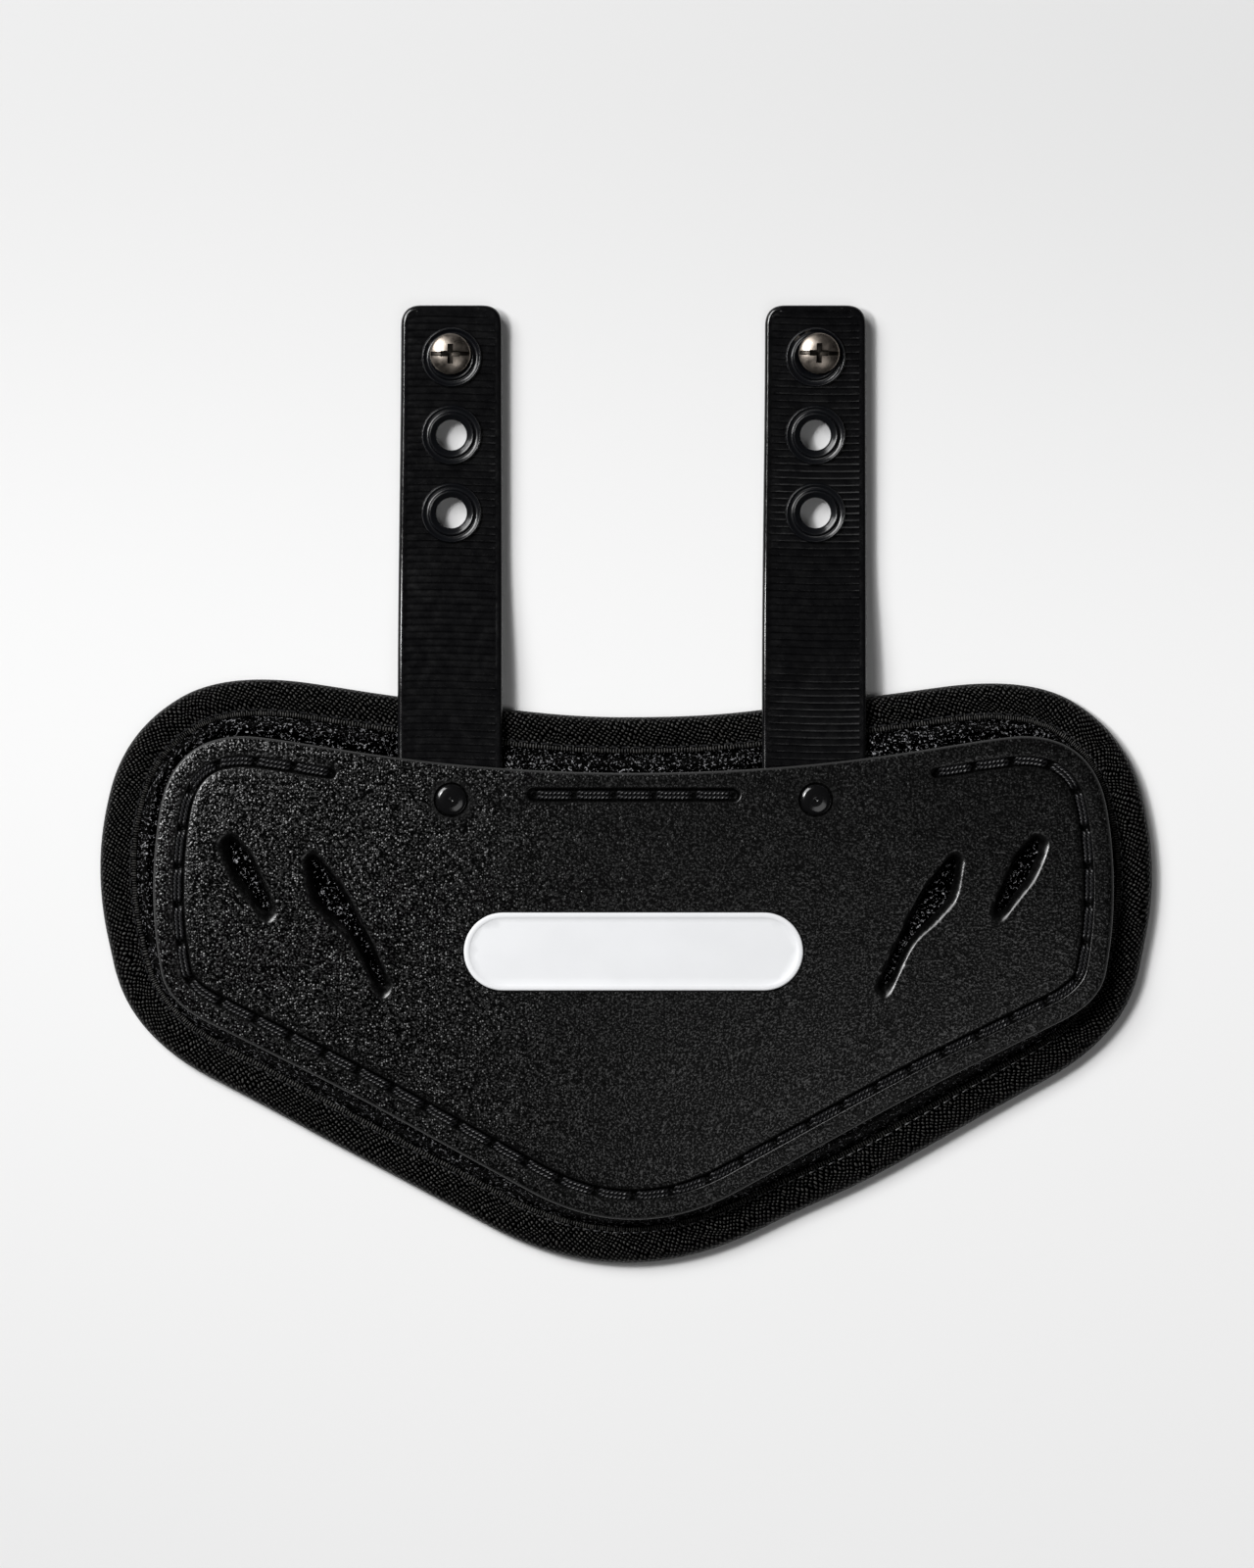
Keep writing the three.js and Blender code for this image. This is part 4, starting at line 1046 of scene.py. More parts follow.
def make_strap(side, material):
    """A strap over its own plan, which narrows and leans a little: its underside follows the side
    view, its long edges are rounded over, and round ribs lie across its top, each a half sine
    squared off, dying out at the edges. It has a round hole for each grommet, and carries how high
    its ribs stand, for the material."""
    s = sizes()
    x = side * s.strap_spacing / 2
    half = s.strap_width / 2
    low, high = strap_start(), strap_reach()
    ring = np.array([[half, low], [half, high], [-half, high], [-half, low]])
    bends = (0.001, STRAP_CORNER, STRAP_CORNER, 0.001)
    corners = []
    for index, (place, bend) in enumerate(zip(ring, bends)):
        before = np.linalg.norm(place - ring[index - 1])
        after = np.linalg.norm(place - ring[(index + 1) % 4])
        corners.append((place, bend / before, bend / after))
    edge = even_steps(parabolas(corners, steps=12), 0.9 * MM)
    edge[:, 0] *= 1.01 - 0.035 * smooth(edge[:, 1], low + 0.3 * (high - low), high)
    edge[:, 0] += x - 0.45 * MM * (1 - smooth(edge[:, 1], low + 0.2 * (high - low), high))
    if signed_area(edge) < 0:
        edge = edge[::-1]
    rings = [inset(edge, STRAP_ROUND * share) for share in (*ROUND_SHARES, 1.5)]
    holes = [circle(hole_place(side, number), STRAP_HOLE, MM) for number in range(HOLES)]
    rows = np.arange(low, high, s.rib_pitch / 7)
    columns = np.linspace(-half + 2.6 * MM, half - 2.6 * MM, 11) + x
    fill = np.stack(np.meshgrid(columns, rows), axis=2).reshape(-1, 2)
    flat = plan(edge, holes, rings, [(fill, 0.3 * MM)])
    points = flat[0]
    depth = distance(points, edge)
    middle = 1 - ((points[:, 0] - x) / half) ** 2
    phase = points[:, 1] / s.rib_pitch * math.pi + 0.5 * np.sin(points[:, 0] / 9 / MM + side)
    crest = 1 - (1 - np.abs(np.sin(phase))) ** 2
    rib = RIB_HEIGHT * crest
    rng = np.random.default_rng(11 + side)
    slow = np.interp(points[:, 1], np.linspace(low, high, 14), rng.uniform(-1, 1, 14))
    rib = rib * (1 + 0.25 * slow) * smooth(depth, 0.9 * MM, 2.4 * MM)
    fold = roundover(depth, STRAP_ROUND)
    under = strap_under(points[:, 1]) + fold
    top = strap_under(points[:, 1]) + s.strap_thickness - fold + rib
    top = top - RIB_SEAT * (depth > STRAP_ROUND * 1.4) + 0.1 * MM * middle
    vertices, faces = two_sided(flat, top, under)
    name = SIDE_NAME[side]
    piece = new_piece("coated_strap_" + name, vertices, faces, 50)
    add_weight(piece, "rib", np.concatenate([np.where(depth > 1.5 * MM, crest, 1), np.ones(len(points))]))
    dress(piece, material, "strap_coating", "strap_" + name)


def make_grommet(side, number, material):
    """A lathe ring with a barrel, a back flange, an outer rim, a valley and an inner crest."""
    s = sizes()
    bore, flange, thick = s.grommet_bore / 2 / MM, s.grommet_flange / 2 / MM, s.strap_thickness / MM
    section = (
        (bore, -thick - 1.2), (8.3, -thick - 1.2), (8.3, -thick - 0.3), (6, -thick - 0.3), (6, 0.25),
        (flange, 0.25), (flange, 0.95), (flange - 0.45, 1.45), (flange - 0.95, 1.1), (flange - 1.5, 0.85),
        (7.1, 0.95), (6.9, 1.5), (6.55, 1.8), (6.1, 1.6), (bore + 0.25, 0.9), (bore, 0.55),
    )
    profile = rounded_profile(section, 0.32, True, 5)
    end_top = STRAP_END_UNDER + s.strap_thickness
    vertices, faces = turned(profile, hole_place(side, number), end_top, 84)
    name = SIDE_NAME[side]
    node = "grommet_%s_%d" % (name, number + 1)
    dress(new_piece(node + "_ring", vertices, faces, 50), material, "grommet_rubber", node)


def make_rivet(side, material):
    """A lathe rivet: a low dome with a small dimple, a shank and a round tail."""
    centre = rivet_place(side)
    seat = crown(centre[None])[0] - 0.5 * MM
    head = sizes().rivet_head / 2 / MM
    tail = (strap_under(centre[1]) - 0.3 * MM - seat) / MM
    section = (
        (0, tail - 1.2), (4.5, tail - 1.2), (4.5, tail), (2.2, tail), (2.2, 0), (head, 0), (head, 0.5),
        (head - 0.25, 0.95), (head * 0.78, 1.28), (head * 0.45, 1.5), (0.62, 1.5), (0.45, 1.3), (0, 1.22),
    )
    profile = rounded_profile(section, 0.3, False, 6)
    vertices, faces = turned(profile, centre, seat, 72)
    name = SIDE_NAME[side]
    piece = new_piece("rivet_%s_turned" % name, vertices, faces, 40)
    dress(piece, material, "rivet_black", "rivet_" + name)


# How far each screw lies off its grommet's middle, in millimetres, and how it is turned
SCREW_OFF = {-1: (-0.35, 1.0), 1: (1.1, 1.2)}
SCREW_TURN = {-1: math.radians(0), 1: math.radians(-1.5)}
SCREW_SEAT = 2.1 * MM
NUT_THICKNESS = 1.3 * MM
# Half the length and half the width of the slot and of one bar of the cross, in millimetres
SLOT = (5.9, 0.55)
CROSS = (2.9, 0.75)
SLOT_DEPTH, CROSS_DEPTH = 0.7 * MM, 1.4 * MM


def screw_place(side):
    """A screw's centre in its grommet, a little off the middle as it lies in the photograph."""
    return hole_place(side, 0) + np.array(SCREW_OFF[side]) * MM


def make_screw(side, material):
    """A pan head over a round plan: a dome that rises as one less the fourth power of the radius,
    a long slot and a crossed recess with sloping walls cut into it. Its shank is a separate lathe
    body below, and so is the nut."""
    s = sizes()
    centre = screw_place(side)
    seat = STRAP_END_UNDER + s.strap_thickness + SCREW_SEAT
    radius = s.screw_head / 2
    turn = SCREW_TURN[side]
    spin = np.array([[math.cos(turn), math.sin(turn)], [-math.sin(turn), math.cos(turn)]])
    edge = circle(np.zeros(2), radius, 0.45 * MM)
    cuts = (SLOT, CROSS, CROSS[::-1])
    lines = [rectangle((long + grow) * MM, (short + grow) * MM, 0.4 * MM)
             for long, short in cuts for grow in (-0.14, 0, 0.12)]
    lines += [circle(np.zeros(2), radius - step * MM, 0.5 * MM) for step in (0.05, 0.2, 0.5, 0.9)]
    fill = hexagonal(np.array([[-radius, -radius], [radius, radius]]), 0.42 * MM)
    flat = plan(edge, [], lines, [(fill, 0.16 * MM)])
    points = flat[0]
    out = np.linalg.norm(points, axis=1)
    dome = (0.75 + 1.85 * (1 - (out / radius) ** 2) ** 0.8) * MM - roundover(radius - out, 0.35 * MM)
    to_slot, *to_arms = (box_distance(points, long * MM, short * MM) for long, short in cuts)
    slot = SLOT_DEPTH * (1 - smooth(to_slot, -0.12 * MM, 0.1 * MM))
    arms = np.minimum(*to_arms)
    cross = (CROSS_DEPTH + 0.25 * (2.2 * MM - out)) * (1 - smooth(arms, -0.14 * MM, 0.12 * MM))
    vertices, faces = two_sided(flat, seat + dome - np.maximum(slot, cross), np.full(len(out), seat))
    vertices[:, :2] = vertices[:, :2] @ spin + centre
    name = SIDE_NAME[side]
    foot = (NUT_THICKNESS - seat) / MM + 0.3
    profile = rounded_profile(((0, foot), (1.75, foot), (1.75, -0.05), (0, -0.05)), 0.05, False, 3)
    shank, shank_faces = turned(profile, centre, seat, 32)
    faces += [f + len(vertices) for f in shank_faces]
    piece = new_piece("screw_%s_head" % name, np.vstack([vertices, shank]), faces, 32)
    # Painted shade in the slot and the cross
    painted_recess_shade = smooth(np.maximum(slot, cross), 0.15 * MM, 0.6 * MM)
    add_weight(piece, "painted_recess_shade", np.concatenate([painted_recess_shade, np.zeros(len(vertices) - len(painted_recess_shade) + len(shank))]))
    dress(piece, material, "screw_nickel", "screw_" + name)

    top, flange = (STRAP_END_UNDER + s.strap_thickness) / MM + 0.54, NUT_THICKNESS / MM
    section = ((0, 0), (7, 0), (7, flange), (2.65, flange), (2.65, top), (2.05, top), (2.05, flange),
               (0, flange))
    vertices, faces = turned(rounded_profile(section, 0.12, False, 4), centre, 0, 60)
    dress(new_piece("screw_nut_%s_turned" % name, vertices, faces, 40), material, "screw_nickel",
          "screw_nut_" + name)


STITCH_DOWN = 1.95 * MM


def make_plate_stitching(material):
    """Doubled thread in the groove and the channel: each stitch is an arch, level in its middle
    and steep at its ends, of two cords side by side, and each cord is two plies twisted together."""
    s = sizes()
    radius = s.thread / 2
    found = []
    for path, shift in ((groove_line(), -0.3 * MM), (channel_line(), 0)):
        at, run = stitch_ends(path)
        pitch = at[1] - at[0]
        share = np.linspace(-0.5, 0.5, 34)
        places = (at[:-1] + pitch / 2)[:, None] + share * pitch * STITCH_SHARE
        arch = 1 - np.abs(2 * share) ** 7
        for beside in (-0.9 * radius, 0.9 * radius):
            side_path = path + left_normals(path, False) * (shift + beside)
            xy = along_path(side_path, run, places)
            level = crown(xy.reshape(-1, 2)).reshape(places.shape)
            z = level - STITCH_DOWN + (STITCH_DOWN - s.groove_depth + radius + 0.1 * MM) * arch
            found.append(lifted(xy, z))
    vertices, faces = ropes(np.vstack(found), radius, ply=2, lay=2.6 * MM, sides=6)
    dress(new_piece("plate_stitching", vertices, faces, 60), material, "plate_plastic")


# Materials

def new_material(name, build):
    """A material whose surface comes from one principled shader."""
    material = bpy.data.materials.new(name)
    material.use_nodes = True
    tree = material.node_tree
    tree.nodes.clear()
    shader = tree.nodes.new("ShaderNodeBsdfPrincipled")
    build(tree, shader)
    add(tree, "OutputMaterial", {"Surface": shader.outputs[0]})
    return material


def add(tree, kind, inputs=(), **settings):
    """Adds a node. Settings are its own properties; inputs maps a socket's name or number to a
    value, or to another node's output that is linked to it."""
    made = tree.nodes.new("ShaderNode" + kind)
    for name, value in settings.items():
        setattr(made, name, value)
    put(tree, made, dict(inputs))
    return made


def put(tree, node, inputs):
    """Sets or links a node's sockets."""
    for socket, value in inputs.items():
        if isinstance(value, bpy.types.NodeSocket):
            tree.links.new(value, node.inputs[socket])
        else:
            node.inputs[socket].default_value = value


def feed(tree, shader, **inputs):
    """Sets or links the shader's sockets, named with underscores for spaces."""
    put(tree, shader, {name.replace("_", " "): value for name, value in inputs.items()})


def object_place(tree):
    """The place on the object, in metres."""
    return add(tree, "TexCoord").outputs["Object"]


def noise(tree, place, millimetres, detail=2.0, roughness=0.5):
    """A noise whose waves are about so many millimetres long."""
    return add(tree, "TexNoise", {"Vector": place, "Scale": 1 / (millimetres * MM), "Detail": detail,
                                  "Roughness": roughness}).outputs[0]


def maths(tree, operation, *values):
    """A calculation with one to three values."""
    return add(tree, "Math", dict(enumerate(values)), operation=operation).outputs[0]


def ramp(tree, value, low, high, to_low=0.0, to_high=1.0, kind="LINEAR"):
    """The value's stretch from low to high, carried over to another one and held at its ends."""
    return add(tree, "MapRange", {0: value, 1: low, 2: high, 3: to_low, 4: to_high},
               interpolation_type=kind).outputs[0]


def blend(tree, share, first, second):
    """From the first colour to the second one by a share. A colour is three values or a socket."""
    first, second = (c if isinstance(c, bpy.types.NodeSocket) else (*c, 1) for c in (first, second))
    return add(tree, "Mix", {0: share, 6: first, 7: second}, data_type="RGBA").outputs[2]


def bumps(tree, height, strength, millimetres):
    """A normal that follows a height map of so many millimetres."""
    return add(tree, "Bump", {"Height": height, "Strength": strength,
                              "Distance": millimetres * MM}).outputs[0]


def weight(tree, name):
    """A value that the piece carries at each vertex."""
    return add(tree, "Attribute", attribute_name=name).outputs["Fac"]


def shade(values, share):
    """A colour made lighter or darker by a share."""
    return tuple(min(v * share, 1) for v in values)


BLACK = (0, 0, 0)
WHITE = (1, 1, 1)


def polyethylene(tree, shader):
    """Injection-moulded high-density polyethylene from a spark-eroded tool: a fine pebble grain
    over a coarser hide grain, painted glints towards the left, smooth skin round the vents and
    along the groove, and a painted highlight line round the edge. The real grain is about 0.3 mm; it is
    drawn at 0.7 mm so that it shows. Painted sheen lightens the pits between pebbles more on the right."""
    base = colours().plate
    place = object_place(tree)
    across = add(tree, "SeparateXYZ", {0: place}).outputs[0]
    polished, painted_recess_shade, painted_edge_highlight = weight(tree, "polished"), weight(tree, "painted_recess_shade"), weight(tree, "painted_edge_highlight")
    # Painted shade: recesses get a darker colour and less reflection
    painted_shade_factor = ramp(tree, painted_recess_shade, 0, 1, 1, 0.2)

    # Painted highlight on the pebbles, and painted shade in the pits between them and in the recesses
    grain = noise(tree, place, 0.68, 0.5)
    height = maths(tree, "MULTIPLY_ADD", noise(tree, place, 1.5, 1), 1.0, grain)
    normal = bumps(tree, height, ramp(tree, polished, 0, 1, 1, 0.05), 0.15)
    # Painted sheen: the pits get lighter towards the right
    painted_right_sheen = ramp(tree, across, -80 * MM, 20 * MM, 0.02, 0.22, "SMOOTHSTEP")
    pebble = ramp(tree, grain, 0.49, 0.64, kind="SMOOTHSTEP")
    lit = ramp(tree, pebble, 0, 1, painted_right_sheen, 1.0)
    shine = maths(tree, "MULTIPLY", maths(tree, "MAXIMUM", lit, polished), painted_shade_factor)
    cast = blend(tree, noise(tree, place, 55), shade(base, 1.8), shade(base, 2.6))
    shaded_pebble_tone = blend(tree, maths(tree, "MULTIPLY", lit, painted_shade_factor), shade(base, 0.3), cast)

    # Painted glints: the middles of cells, a few of them bright, strongest on the left, none on the
    # smooth skin
    cells = add(tree, "TexVoronoi", {"Vector": place, "Scale": 1 / (0.7 * MM)})
    tops = ramp(tree, cells.outputs["Distance"], 0.2, 0.42, 1, 0, "SMOOTHSTEP")
    chance = add(tree, "SeparateColor", {0: cells.outputs["Color"]}).outputs[0]
    painted_glints = maths(tree, "MULTIPLY", tops, maths(tree, "POWER", chance, 3.5))
    painted_glints = maths(tree, "MULTIPLY", painted_glints, ramp(tree, across, -80 * MM, 0, 1, 0.12, "SMOOTHSTEP"))
    painted_glints = maths(tree, "MULTIPLY", painted_glints, ramp(tree, polished, 0, 0.5, 1, 0))
    tint = blend(tree, painted_edge_highlight, blend(tree, painted_glints, shaded_pebble_tone, shade(base, 150)), shade(base, 14))
    feed(tree, shader, Base_Color=tint, Specular_Tint=blend(tree, shine, BLACK, WHITE), IOR=1.53,
         Roughness=ramp(tree, noise(tree, place, 1.6, 3, 0.7), 0.3, 0.7, 0.2, 0.32), Normal=normal)


def spacer_knit(tree, shader):
    """Warp-knitted polyester spacer fabric: stray shiny loops about 1.4 mm across, which are the
    level lines of two noises, with painted highlight where a noise lights them, over gaps of painted
    black shade that reflect nothing."""
    place = object_place(tree)
    loops = []
    for spread, start in ((1.25, 0), (1.6, 7)):
        moved = add(tree, "VectorMath", {0: place, 1: (start, start, 0)}, operation="ADD").outputs[0]
        off = maths(tree, "SUBTRACT", noise(tree, moved, spread, 0.4), 0.5)
        loops.append(ramp(tree, maths(tree, "ABSOLUTE", off), 0.012, 0.042, 1, 0, "SMOOTHSTEP"))
    either = maths(tree, "MAXIMUM", *loops)
    # Painted highlight: a noise picks which loops are lit
    lit = ramp(tree, noise(tree, place, 0.9, 2, 0.7), 0.54, 0.6)
    thread = maths(tree, "MULTIPLY", either, lit)
    feed(tree, shader, Base_Color=blend(tree, thread, BLACK, colours().knit), IOR=1.5,
         Specular_Tint=blend(tree, thread, BLACK, WHITE), Roughness=0.42,
         Normal=bumps(tree, either, 1.0, 0.4))


def twill_tape(tree, shader):
    """Woven polyester twill tape: beads of yarn about 1 mm apart in slanting rows that wander, painted
    light on top where a noise lights them, painted black as shade between, and short ticks of selvedge
    along the hem."""
    place = object_place(tree)
    uv = add(tree, "SeparateXYZ", {0: add(tree, "UVMap", uv_map="surface").outputs[0]})
    along_tape, across_tape = uv.outputs[0], uv.outputs[1]
    drift = maths(tree, "MULTIPLY", noise(tree, place, 9, 3, 0.6), 5 * MM)
    waves = []
    for along, across, pitch in ((1, 0.6, 1.5), (-0.5, 1, 1.2)):
        part = maths(tree, "MULTIPLY_ADD", along_tape, along, drift)
        whole = maths(tree, "MULTIPLY_ADD", across_tape, across, part)
        waves.append(rectified_sine(tree, whole, pitch))
    beads = maths(tree, "MULTIPLY", *waves)
    hem = ramp(tree, across_tape, 1.5 * MM, 1.9 * MM, 1, 0)
    woven = add(tree, "Mix", {0: hem, 2: beads, 3: rectified_sine(tree, along_tape, 0.85)}).outputs[0]
    top = ramp(tree, woven, 0.5, 0.8, kind="SMOOTHSTEP")
    # Painted highlight on the bead tops, lit at random by a noise; painted shade between them
    lit = ramp(tree, noise(tree, place, 1.3, 2, 0.7), 0.42, 0.6, 0.06, 1)
    yarn = maths(tree, "MULTIPLY", top, lit)
    feed(tree, shader, Base_Color=blend(tree, yarn, BLACK, colours().tape), IOR=1.5,
         Specular_Tint=blend(tree, top, BLACK, (0.5, 0.5, 0.5)), Roughness=0.45,
         Normal=bumps(tree, woven, 0.9, 0.3))


def rectified_sine(tree, run, pitch):
    """The size of a sine that touches zero once in every so many millimetres of the run."""
    angle = maths(tree, "MULTIPLY", run, math.pi / (pitch * MM))
    return maths(tree, "ABSOLUTE", maths(tree, "SINE", angle))


def coated_webbing(tree, shader):
    """Ribbed nylon webbing dipped in soft vinyl: wet-looking black crests with small dents, and
    painted shade, darker and less shiny, in the lines between the ribs."""
    base, place = colours().strap, object_place(tree)
    dents, dust = noise(tree, place, 3.5, 3, 0.6), noise(tree, place, 0.8)
    # Painted shade: the lines between the ribs get a darker colour and less reflection
    lit = ramp(tree, weight(tree, "rib"), 0.1, 0.95, 0.25, 1)
    height = maths(tree, "MULTIPLY_ADD", dust, 0.3, dents)
    tint = blend(tree, maths(tree, "MULTIPLY", dust, lit), shade(base, 0.4), shade(base, 2.4))
    feed(tree, shader, Base_Color=tint, Specular_Tint=blend(tree, lit, BLACK, WHITE), IOR=1.5,
         Roughness=ramp(tree, dents, 0.3, 0.7, 0.14, 0.24), Normal=bumps(tree, height, 0.4, 0.08))


def moulded_rubber(tree, shader):
    """Compression-moulded synthetic rubber: dark blue-black, satin, faintly dusty."""
    base, dust = colours().grommet, noise(tree, object_place(tree), 0.6, 3, 0.7)
    feed(tree, shader, Base_Color=blend(tree, dust, shade(base, 0.75), shade(base, 1.3)),
         Roughness=0.22, IOR=1.52, Normal=bumps(tree, dust, 0.3, 0.05))


def black_lacquer(tree, shader):
    """Stove-enamelled steel: a deep gloss with faint orange peel."""
    base, peel = colours().rivet, noise(tree, object_place(tree), 0.9)
    feed(tree, shader, Base_Color=blend(tree, peel, shade(base, 0.7), shade(base, 1.4)),
         Roughness=0.14, IOR=1.5, Normal=bumps(tree, peel, 0.25, 0.03))


def nickel_plate(tree, shader):
    """Barrel-plated steel: a warm dark nickel mirror with faint tumbling marks and stains, and
    painted shade in the slot and the cross."""
    base, place = colours().nickel, object_place(tree)
    stain, marks = noise(tree, place, 2.4, 4, 0.65), noise(tree, place, 0.5, 3)
    tint = blend(tree, stain, shade(base, 0.6), shade(base, 1.25))
    feed(tree, shader, Base_Color=blend(tree, weight(tree, "painted_recess_shade"), tint, shade(base, 0.1)),
         Roughness=ramp(tree, stain, 0.35, 0.65, 0.26, 0.4), Metallic=1.0,
         Normal=bumps(tree, marks, 0.2, 0.03))


def white_inlay(tree, shader):
    """Moulded white polyurethane: smooth and satin, a touch uneven in gloss."""
    base, place = colours().badge, object_place(tree)
    cloud, skin = noise(tree, place, 14, 3), noise(tree, place, 0.8)
    feed(tree, shader, Base_Color=blend(tree, cloud, shade(base, 0.94), base), IOR=1.5,
         Roughness=ramp(tree, cloud, 0.3, 0.7, 0.34, 0.46), Normal=bumps(tree, skin, 0.2, 0.03))


def nylon_thread(tree, shader):
    """Bonded nylon thread: black filaments with a silky shine along the twist."""
    base, fibre = colours().thread, noise(tree, object_place(tree), 0.35)
    feed(tree, shader, Base_Color=blend(tree, fibre, shade(base, 0.4), shade(base, 1.9)),
         Roughness=0.42, IOR=1.53, Normal=bumps(tree, fibre, 0.5, 0.08))


def paper_floor(tree, shader):
    """Seamless studio paper: nearly white and matt, with painted shade a little darker at the top, at
    the bottom and towards the key lamp, so that the picture comes out evenly lit from side to side."""
    along = add(tree, "SeparateXYZ", {0: object_place(tree)})
    side = ramp(tree, along.outputs[0], -0.19, 0.19, 0.87, 1)
    upper = ramp(tree, along.outputs[1], 0, 0.23, 1, 0.85, "SMOOTHSTEP")
    lower = ramp(tree, along.outputs[1], -0.23, -0.02, 0.99, 1, "SMOOTHSTEP")
    share = maths(tree, "MULTIPLY", maths(tree, "MULTIPLY", upper, lower), side)
    feed(tree, shader, Base_Color=blend(tree, share, BLACK, colours().floor), Roughness=0.9, IOR=1.4)


# Operators

class MESH_OT_back_plate_pad(bpy.types.Operator):
    """Makes the knit-covered foam pad."""
    bl_idname = "mesh.back_plate_pad"
    bl_label = "Foam pad"
    bl_options = {"REGISTER", "UNDO"}

    def execute(self, context):
        make_pad(new_material("spacer knit", spacer_knit))
        return {"FINISHED"}


class MESH_OT_back_plate_binding(bpy.types.Operator):
    """Makes the tape that binds the pad's edge, and its stitching."""
    bl_idname = "mesh.back_plate_binding"
    bl_label = "Edge binding"
    bl_options = {"REGISTER", "UNDO"}

    def execute(self, context):
        make_binding(new_material("polyester twill tape", twill_tape),
                     new_material("binding thread", nylon_thread))
        return {"FINISHED"}


class MESH_OT_back_plate_plate(bpy.types.Operator):
    """Makes the moulded plate with its vents, groove and channel."""
    bl_idname = "mesh.back_plate_plate"
    bl_label = "Plate"
    bl_options = {"REGISTER", "UNDO"}

    def execute(self, context):
        make_plate(new_material("moulded polyethylene", polyethylene))
        return {"FINISHED"}


class MESH_OT_back_plate_badge(bpy.types.Operator):
    """Makes the blank badge."""
    bl_idname = "mesh.back_plate_badge"
    bl_label = "Badge"
    bl_options = {"REGISTER", "UNDO"}

    def execute(self, context):
        make_badge(new_material("moulded white polyurethane", white_inlay))
        return {"FINISHED"}


class MESH_OT_back_plate_stitching(bpy.types.Operator):
    """Makes the twisted thread that sews the plate to the pad."""
    bl_idname = "mesh.back_plate_stitching"
    bl_label = "Plate stitching"
    bl_options = {"REGISTER", "UNDO"}

    def execute(self, context):
        make_plate_stitching(new_material("bonded nylon thread", nylon_thread))
        return {"FINISHED"}


class MESH_OT_back_plate_straps(bpy.types.Operator):
    """Makes the two straps."""
    bl_idname = "mesh.back_plate_straps"
    bl_label = "Straps"
    bl_options = {"REGISTER", "UNDO"}

    def execute(self, context):
        material = new_material("vinyl-coated webbing", coated_webbing)
        for side in (-1, 1):
            make_strap(side, material)
        return {"FINISHED"}


class MESH_OT_back_plate_grommets(bpy.types.Operator):
    """Makes the six grommets."""
    bl_idname = "mesh.back_plate_grommets"
    bl_label = "Grommets"
    bl_options = {"REGISTER", "UNDO"}

    def execute(self, context):
        material = new_material("moulded rubber", moulded_rubber)
        for side in (-1, 1):
            for number in range(HOLES):
                make_grommet(side, number, material)
        return {"FINISHED"}


class MESH_OT_back_plate_fasteners(bpy.types.Operator):
    """Makes the rivets, the screws and their nuts."""
    bl_idname = "mesh.back_plate_fasteners"
    bl_label = "Rivets and screws"
    bl_options = {"REGISTER", "UNDO"}

    def execute(self, context):
        lacquer = new_material("black enamelled steel", black_lacquer)
        nickel = new_material("nickel-plated steel", nickel_plate)
        for side in (-1, 1):
            make_rivet(side, lacquer)
            make_screw(side, nickel)
        return {"FINISHED"}


class SCENE_OT_back_plate_stage(bpy.types.Operator):
    """Makes the floor, the lamps and the camera."""
    bl_idname = "scene.back_plate_stage"
    bl_label = "Studio"
    bl_options = {"REGISTER", "UNDO"}

    def execute(self, context):
        make_stage()
        return {"FINISHED"}


# The lamps' places and sizes in metres and their powers in watts
LAMPS = (
    dict(name="key", place=(-3.2, 2.6, 4.0), size=3.2, power=315),
    dict(name="glint", place=(-0.5, 0.26, 0.8), size=0.16, power=3.6),
    dict(name="fill", place=(0.23, -0.29, 0.95), size=0.4, power=0.85),
)
SKY_STRENGTH = 0.035
FLOOR_REACH = 3
# The camera stands 4 m above the part's middle level; its sensor and lens are in millimetres
CAMERA_HEIGHT = 4.01
SENSOR_HEIGHT, LENS = 36, 300


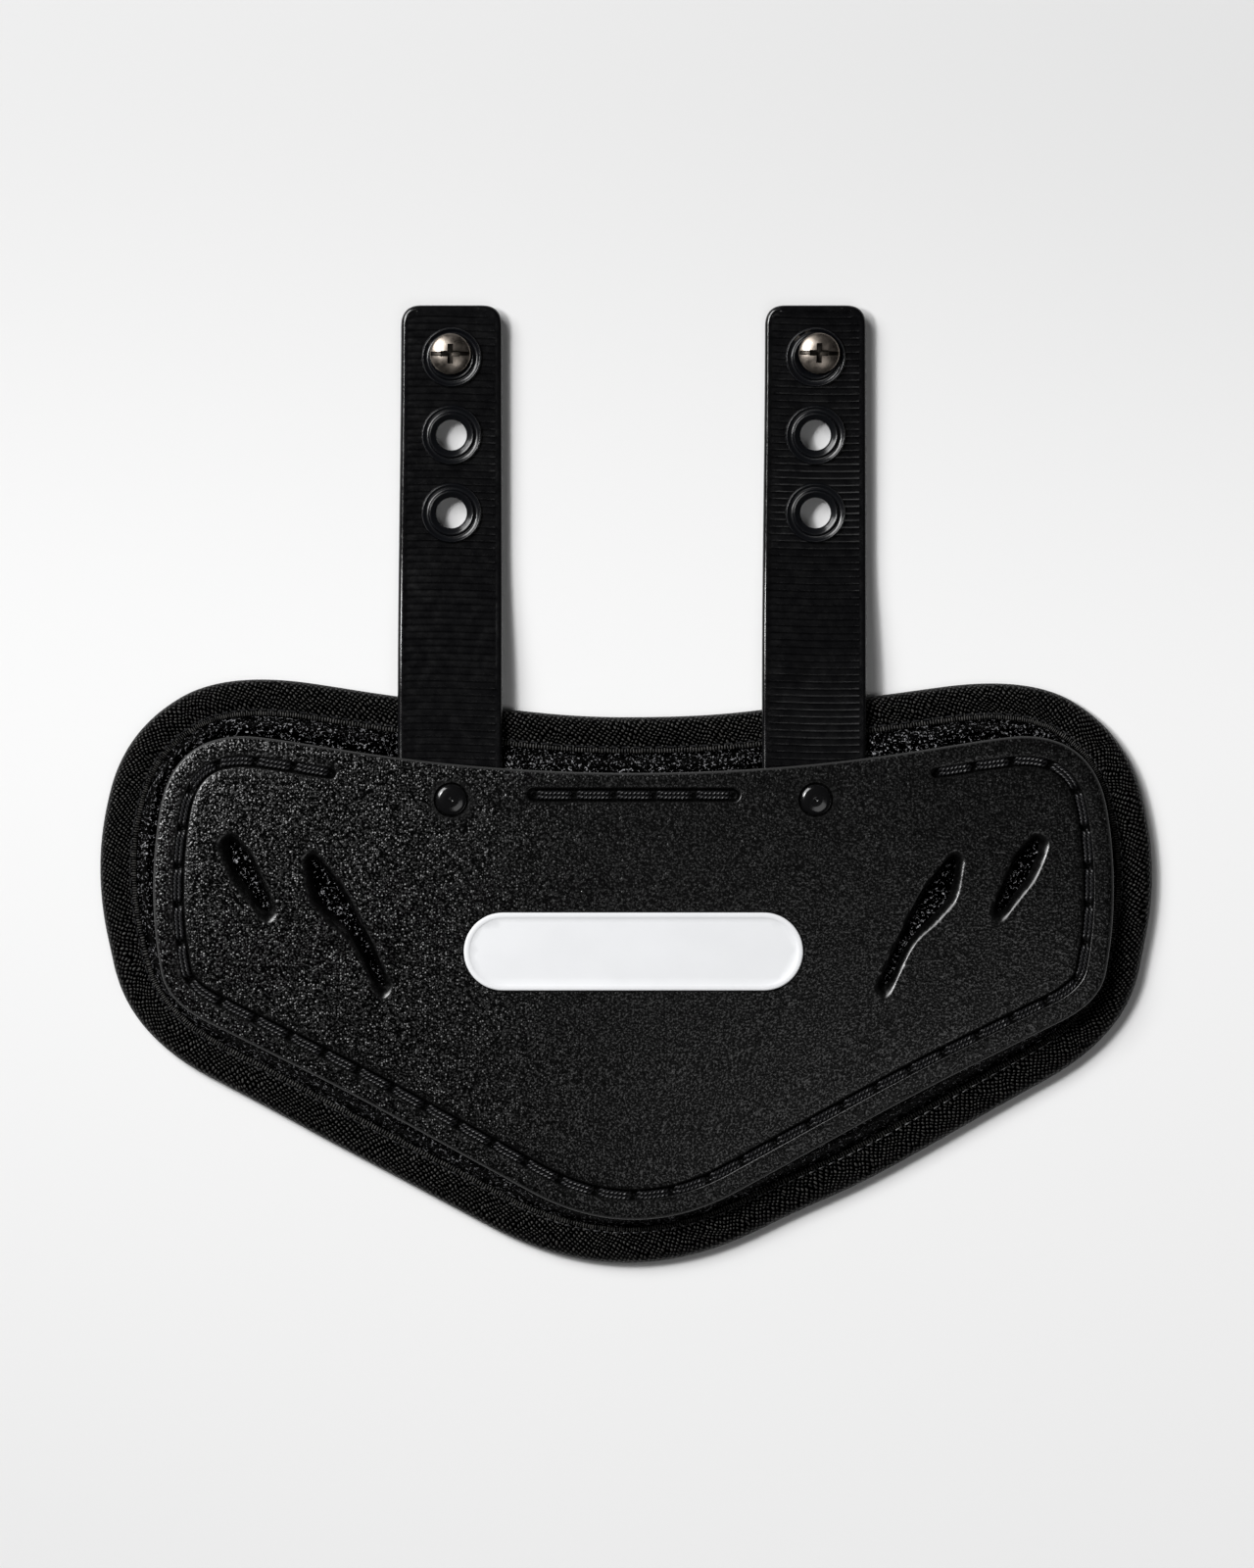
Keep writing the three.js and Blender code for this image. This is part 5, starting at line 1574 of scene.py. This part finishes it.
def make_stage():
    """A flat floor, soft square lamps that look at the part, a dim even sky, and the camera
    straight above, where the frame's height spans 480 mm."""
    mesh = bpy.data.meshes.new("floor")
    corners = [(x * FLOOR_REACH, y * FLOOR_REACH, 0) for x, y in ((-1, -1), (1, -1), (1, 1), (-1, 1))]
    mesh.from_pydata(corners, [], [(0, 1, 2, 3)])
    mesh.materials.append(new_material("studio paper", paper_floor))
    linked("floor", mesh)
    for row in LAMPS:
        lamp = bpy.data.lights.new(row["name"], "AREA")
        lamp.energy, lamp.size = row["power"], row["size"]
        holder = linked(row["name"], lamp)
        holder.location = row["place"]
        holder.rotation_euler = (-Vector(row["place"])).to_track_quat("-Z", "Y").to_euler()
    world = bpy.data.worlds.new("studio")
    world.use_nodes = True
    sky = world.node_tree.nodes["Background"]
    sky.inputs["Color"].default_value = (1, 1, 1, 1)
    sky.inputs["Strength"].default_value = SKY_STRENGTH
    bpy.context.scene.world = world
    camera = bpy.data.cameras.new("camera")
    camera.sensor_fit, camera.sensor_height, camera.lens = "VERTICAL", SENSOR_HEIGHT, LENS
    camera.clip_end = 20
    holder = linked("camera", camera)
    holder.location = (0, 0, CAMERA_HEIGHT)
    bpy.context.scene.camera = holder
    bpy.context.scene.view_settings.view_transform = "Standard"


class VIEW3D_PT_back_plate(bpy.types.Panel):
    """Lists the sizes, the colours and the steps that make the part."""
    bl_label = "Football back plate"
    bl_idname = "VIEW3D_PT_back_plate"
    bl_space_type = "VIEW_3D"
    bl_region_type = "UI"
    bl_category = "Back plate"

    def draw(self, context):
        column = self.layout.column(align=True)
        for step in STEPS:
            column.operator(step.bl_idname)
        for group in (context.scene.back_plate_sizes, context.scene.back_plate_colours):
            column = self.layout.column(align=True)
            for name in group.bl_rna.properties.keys():
                if name not in ("rna_type", "name"):
                    column.prop(group, name)


STEPS = (
    MESH_OT_back_plate_pad, MESH_OT_back_plate_binding, MESH_OT_back_plate_plate,
    MESH_OT_back_plate_badge, MESH_OT_back_plate_stitching, MESH_OT_back_plate_straps,
    MESH_OT_back_plate_grommets, MESH_OT_back_plate_fasteners, SCENE_OT_back_plate_stage,
)
CLASSES = (BackPlateSizes, BackPlateColours, *STEPS, VIEW3D_PT_back_plate)


def register():
    """Registers the classes and gives the scene its sizes and colours."""
    for cls in CLASSES:
        bpy.utils.register_class(cls)
    bpy.types.Scene.back_plate_sizes = PointerProperty(type=BackPlateSizes)
    bpy.types.Scene.back_plate_colours = PointerProperty(type=BackPlateColours)


def unregister():
    """Undoes register."""
    del bpy.types.Scene.back_plate_colours
    del bpy.types.Scene.back_plate_sizes
    for cls in reversed(CLASSES):
        bpy.utils.unregister_class(cls)


def main():
    """Registers the add-on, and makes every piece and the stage."""
    register()
    bpy.ops.mesh.back_plate_pad()
    bpy.ops.mesh.back_plate_binding()
    bpy.ops.mesh.back_plate_plate()
    bpy.ops.mesh.back_plate_badge()
    bpy.ops.mesh.back_plate_stitching()
    bpy.ops.mesh.back_plate_straps()
    bpy.ops.mesh.back_plate_grommets()
    bpy.ops.mesh.back_plate_fasteners()
    bpy.ops.scene.back_plate_stage()


if __name__ == "__main__":
    main()
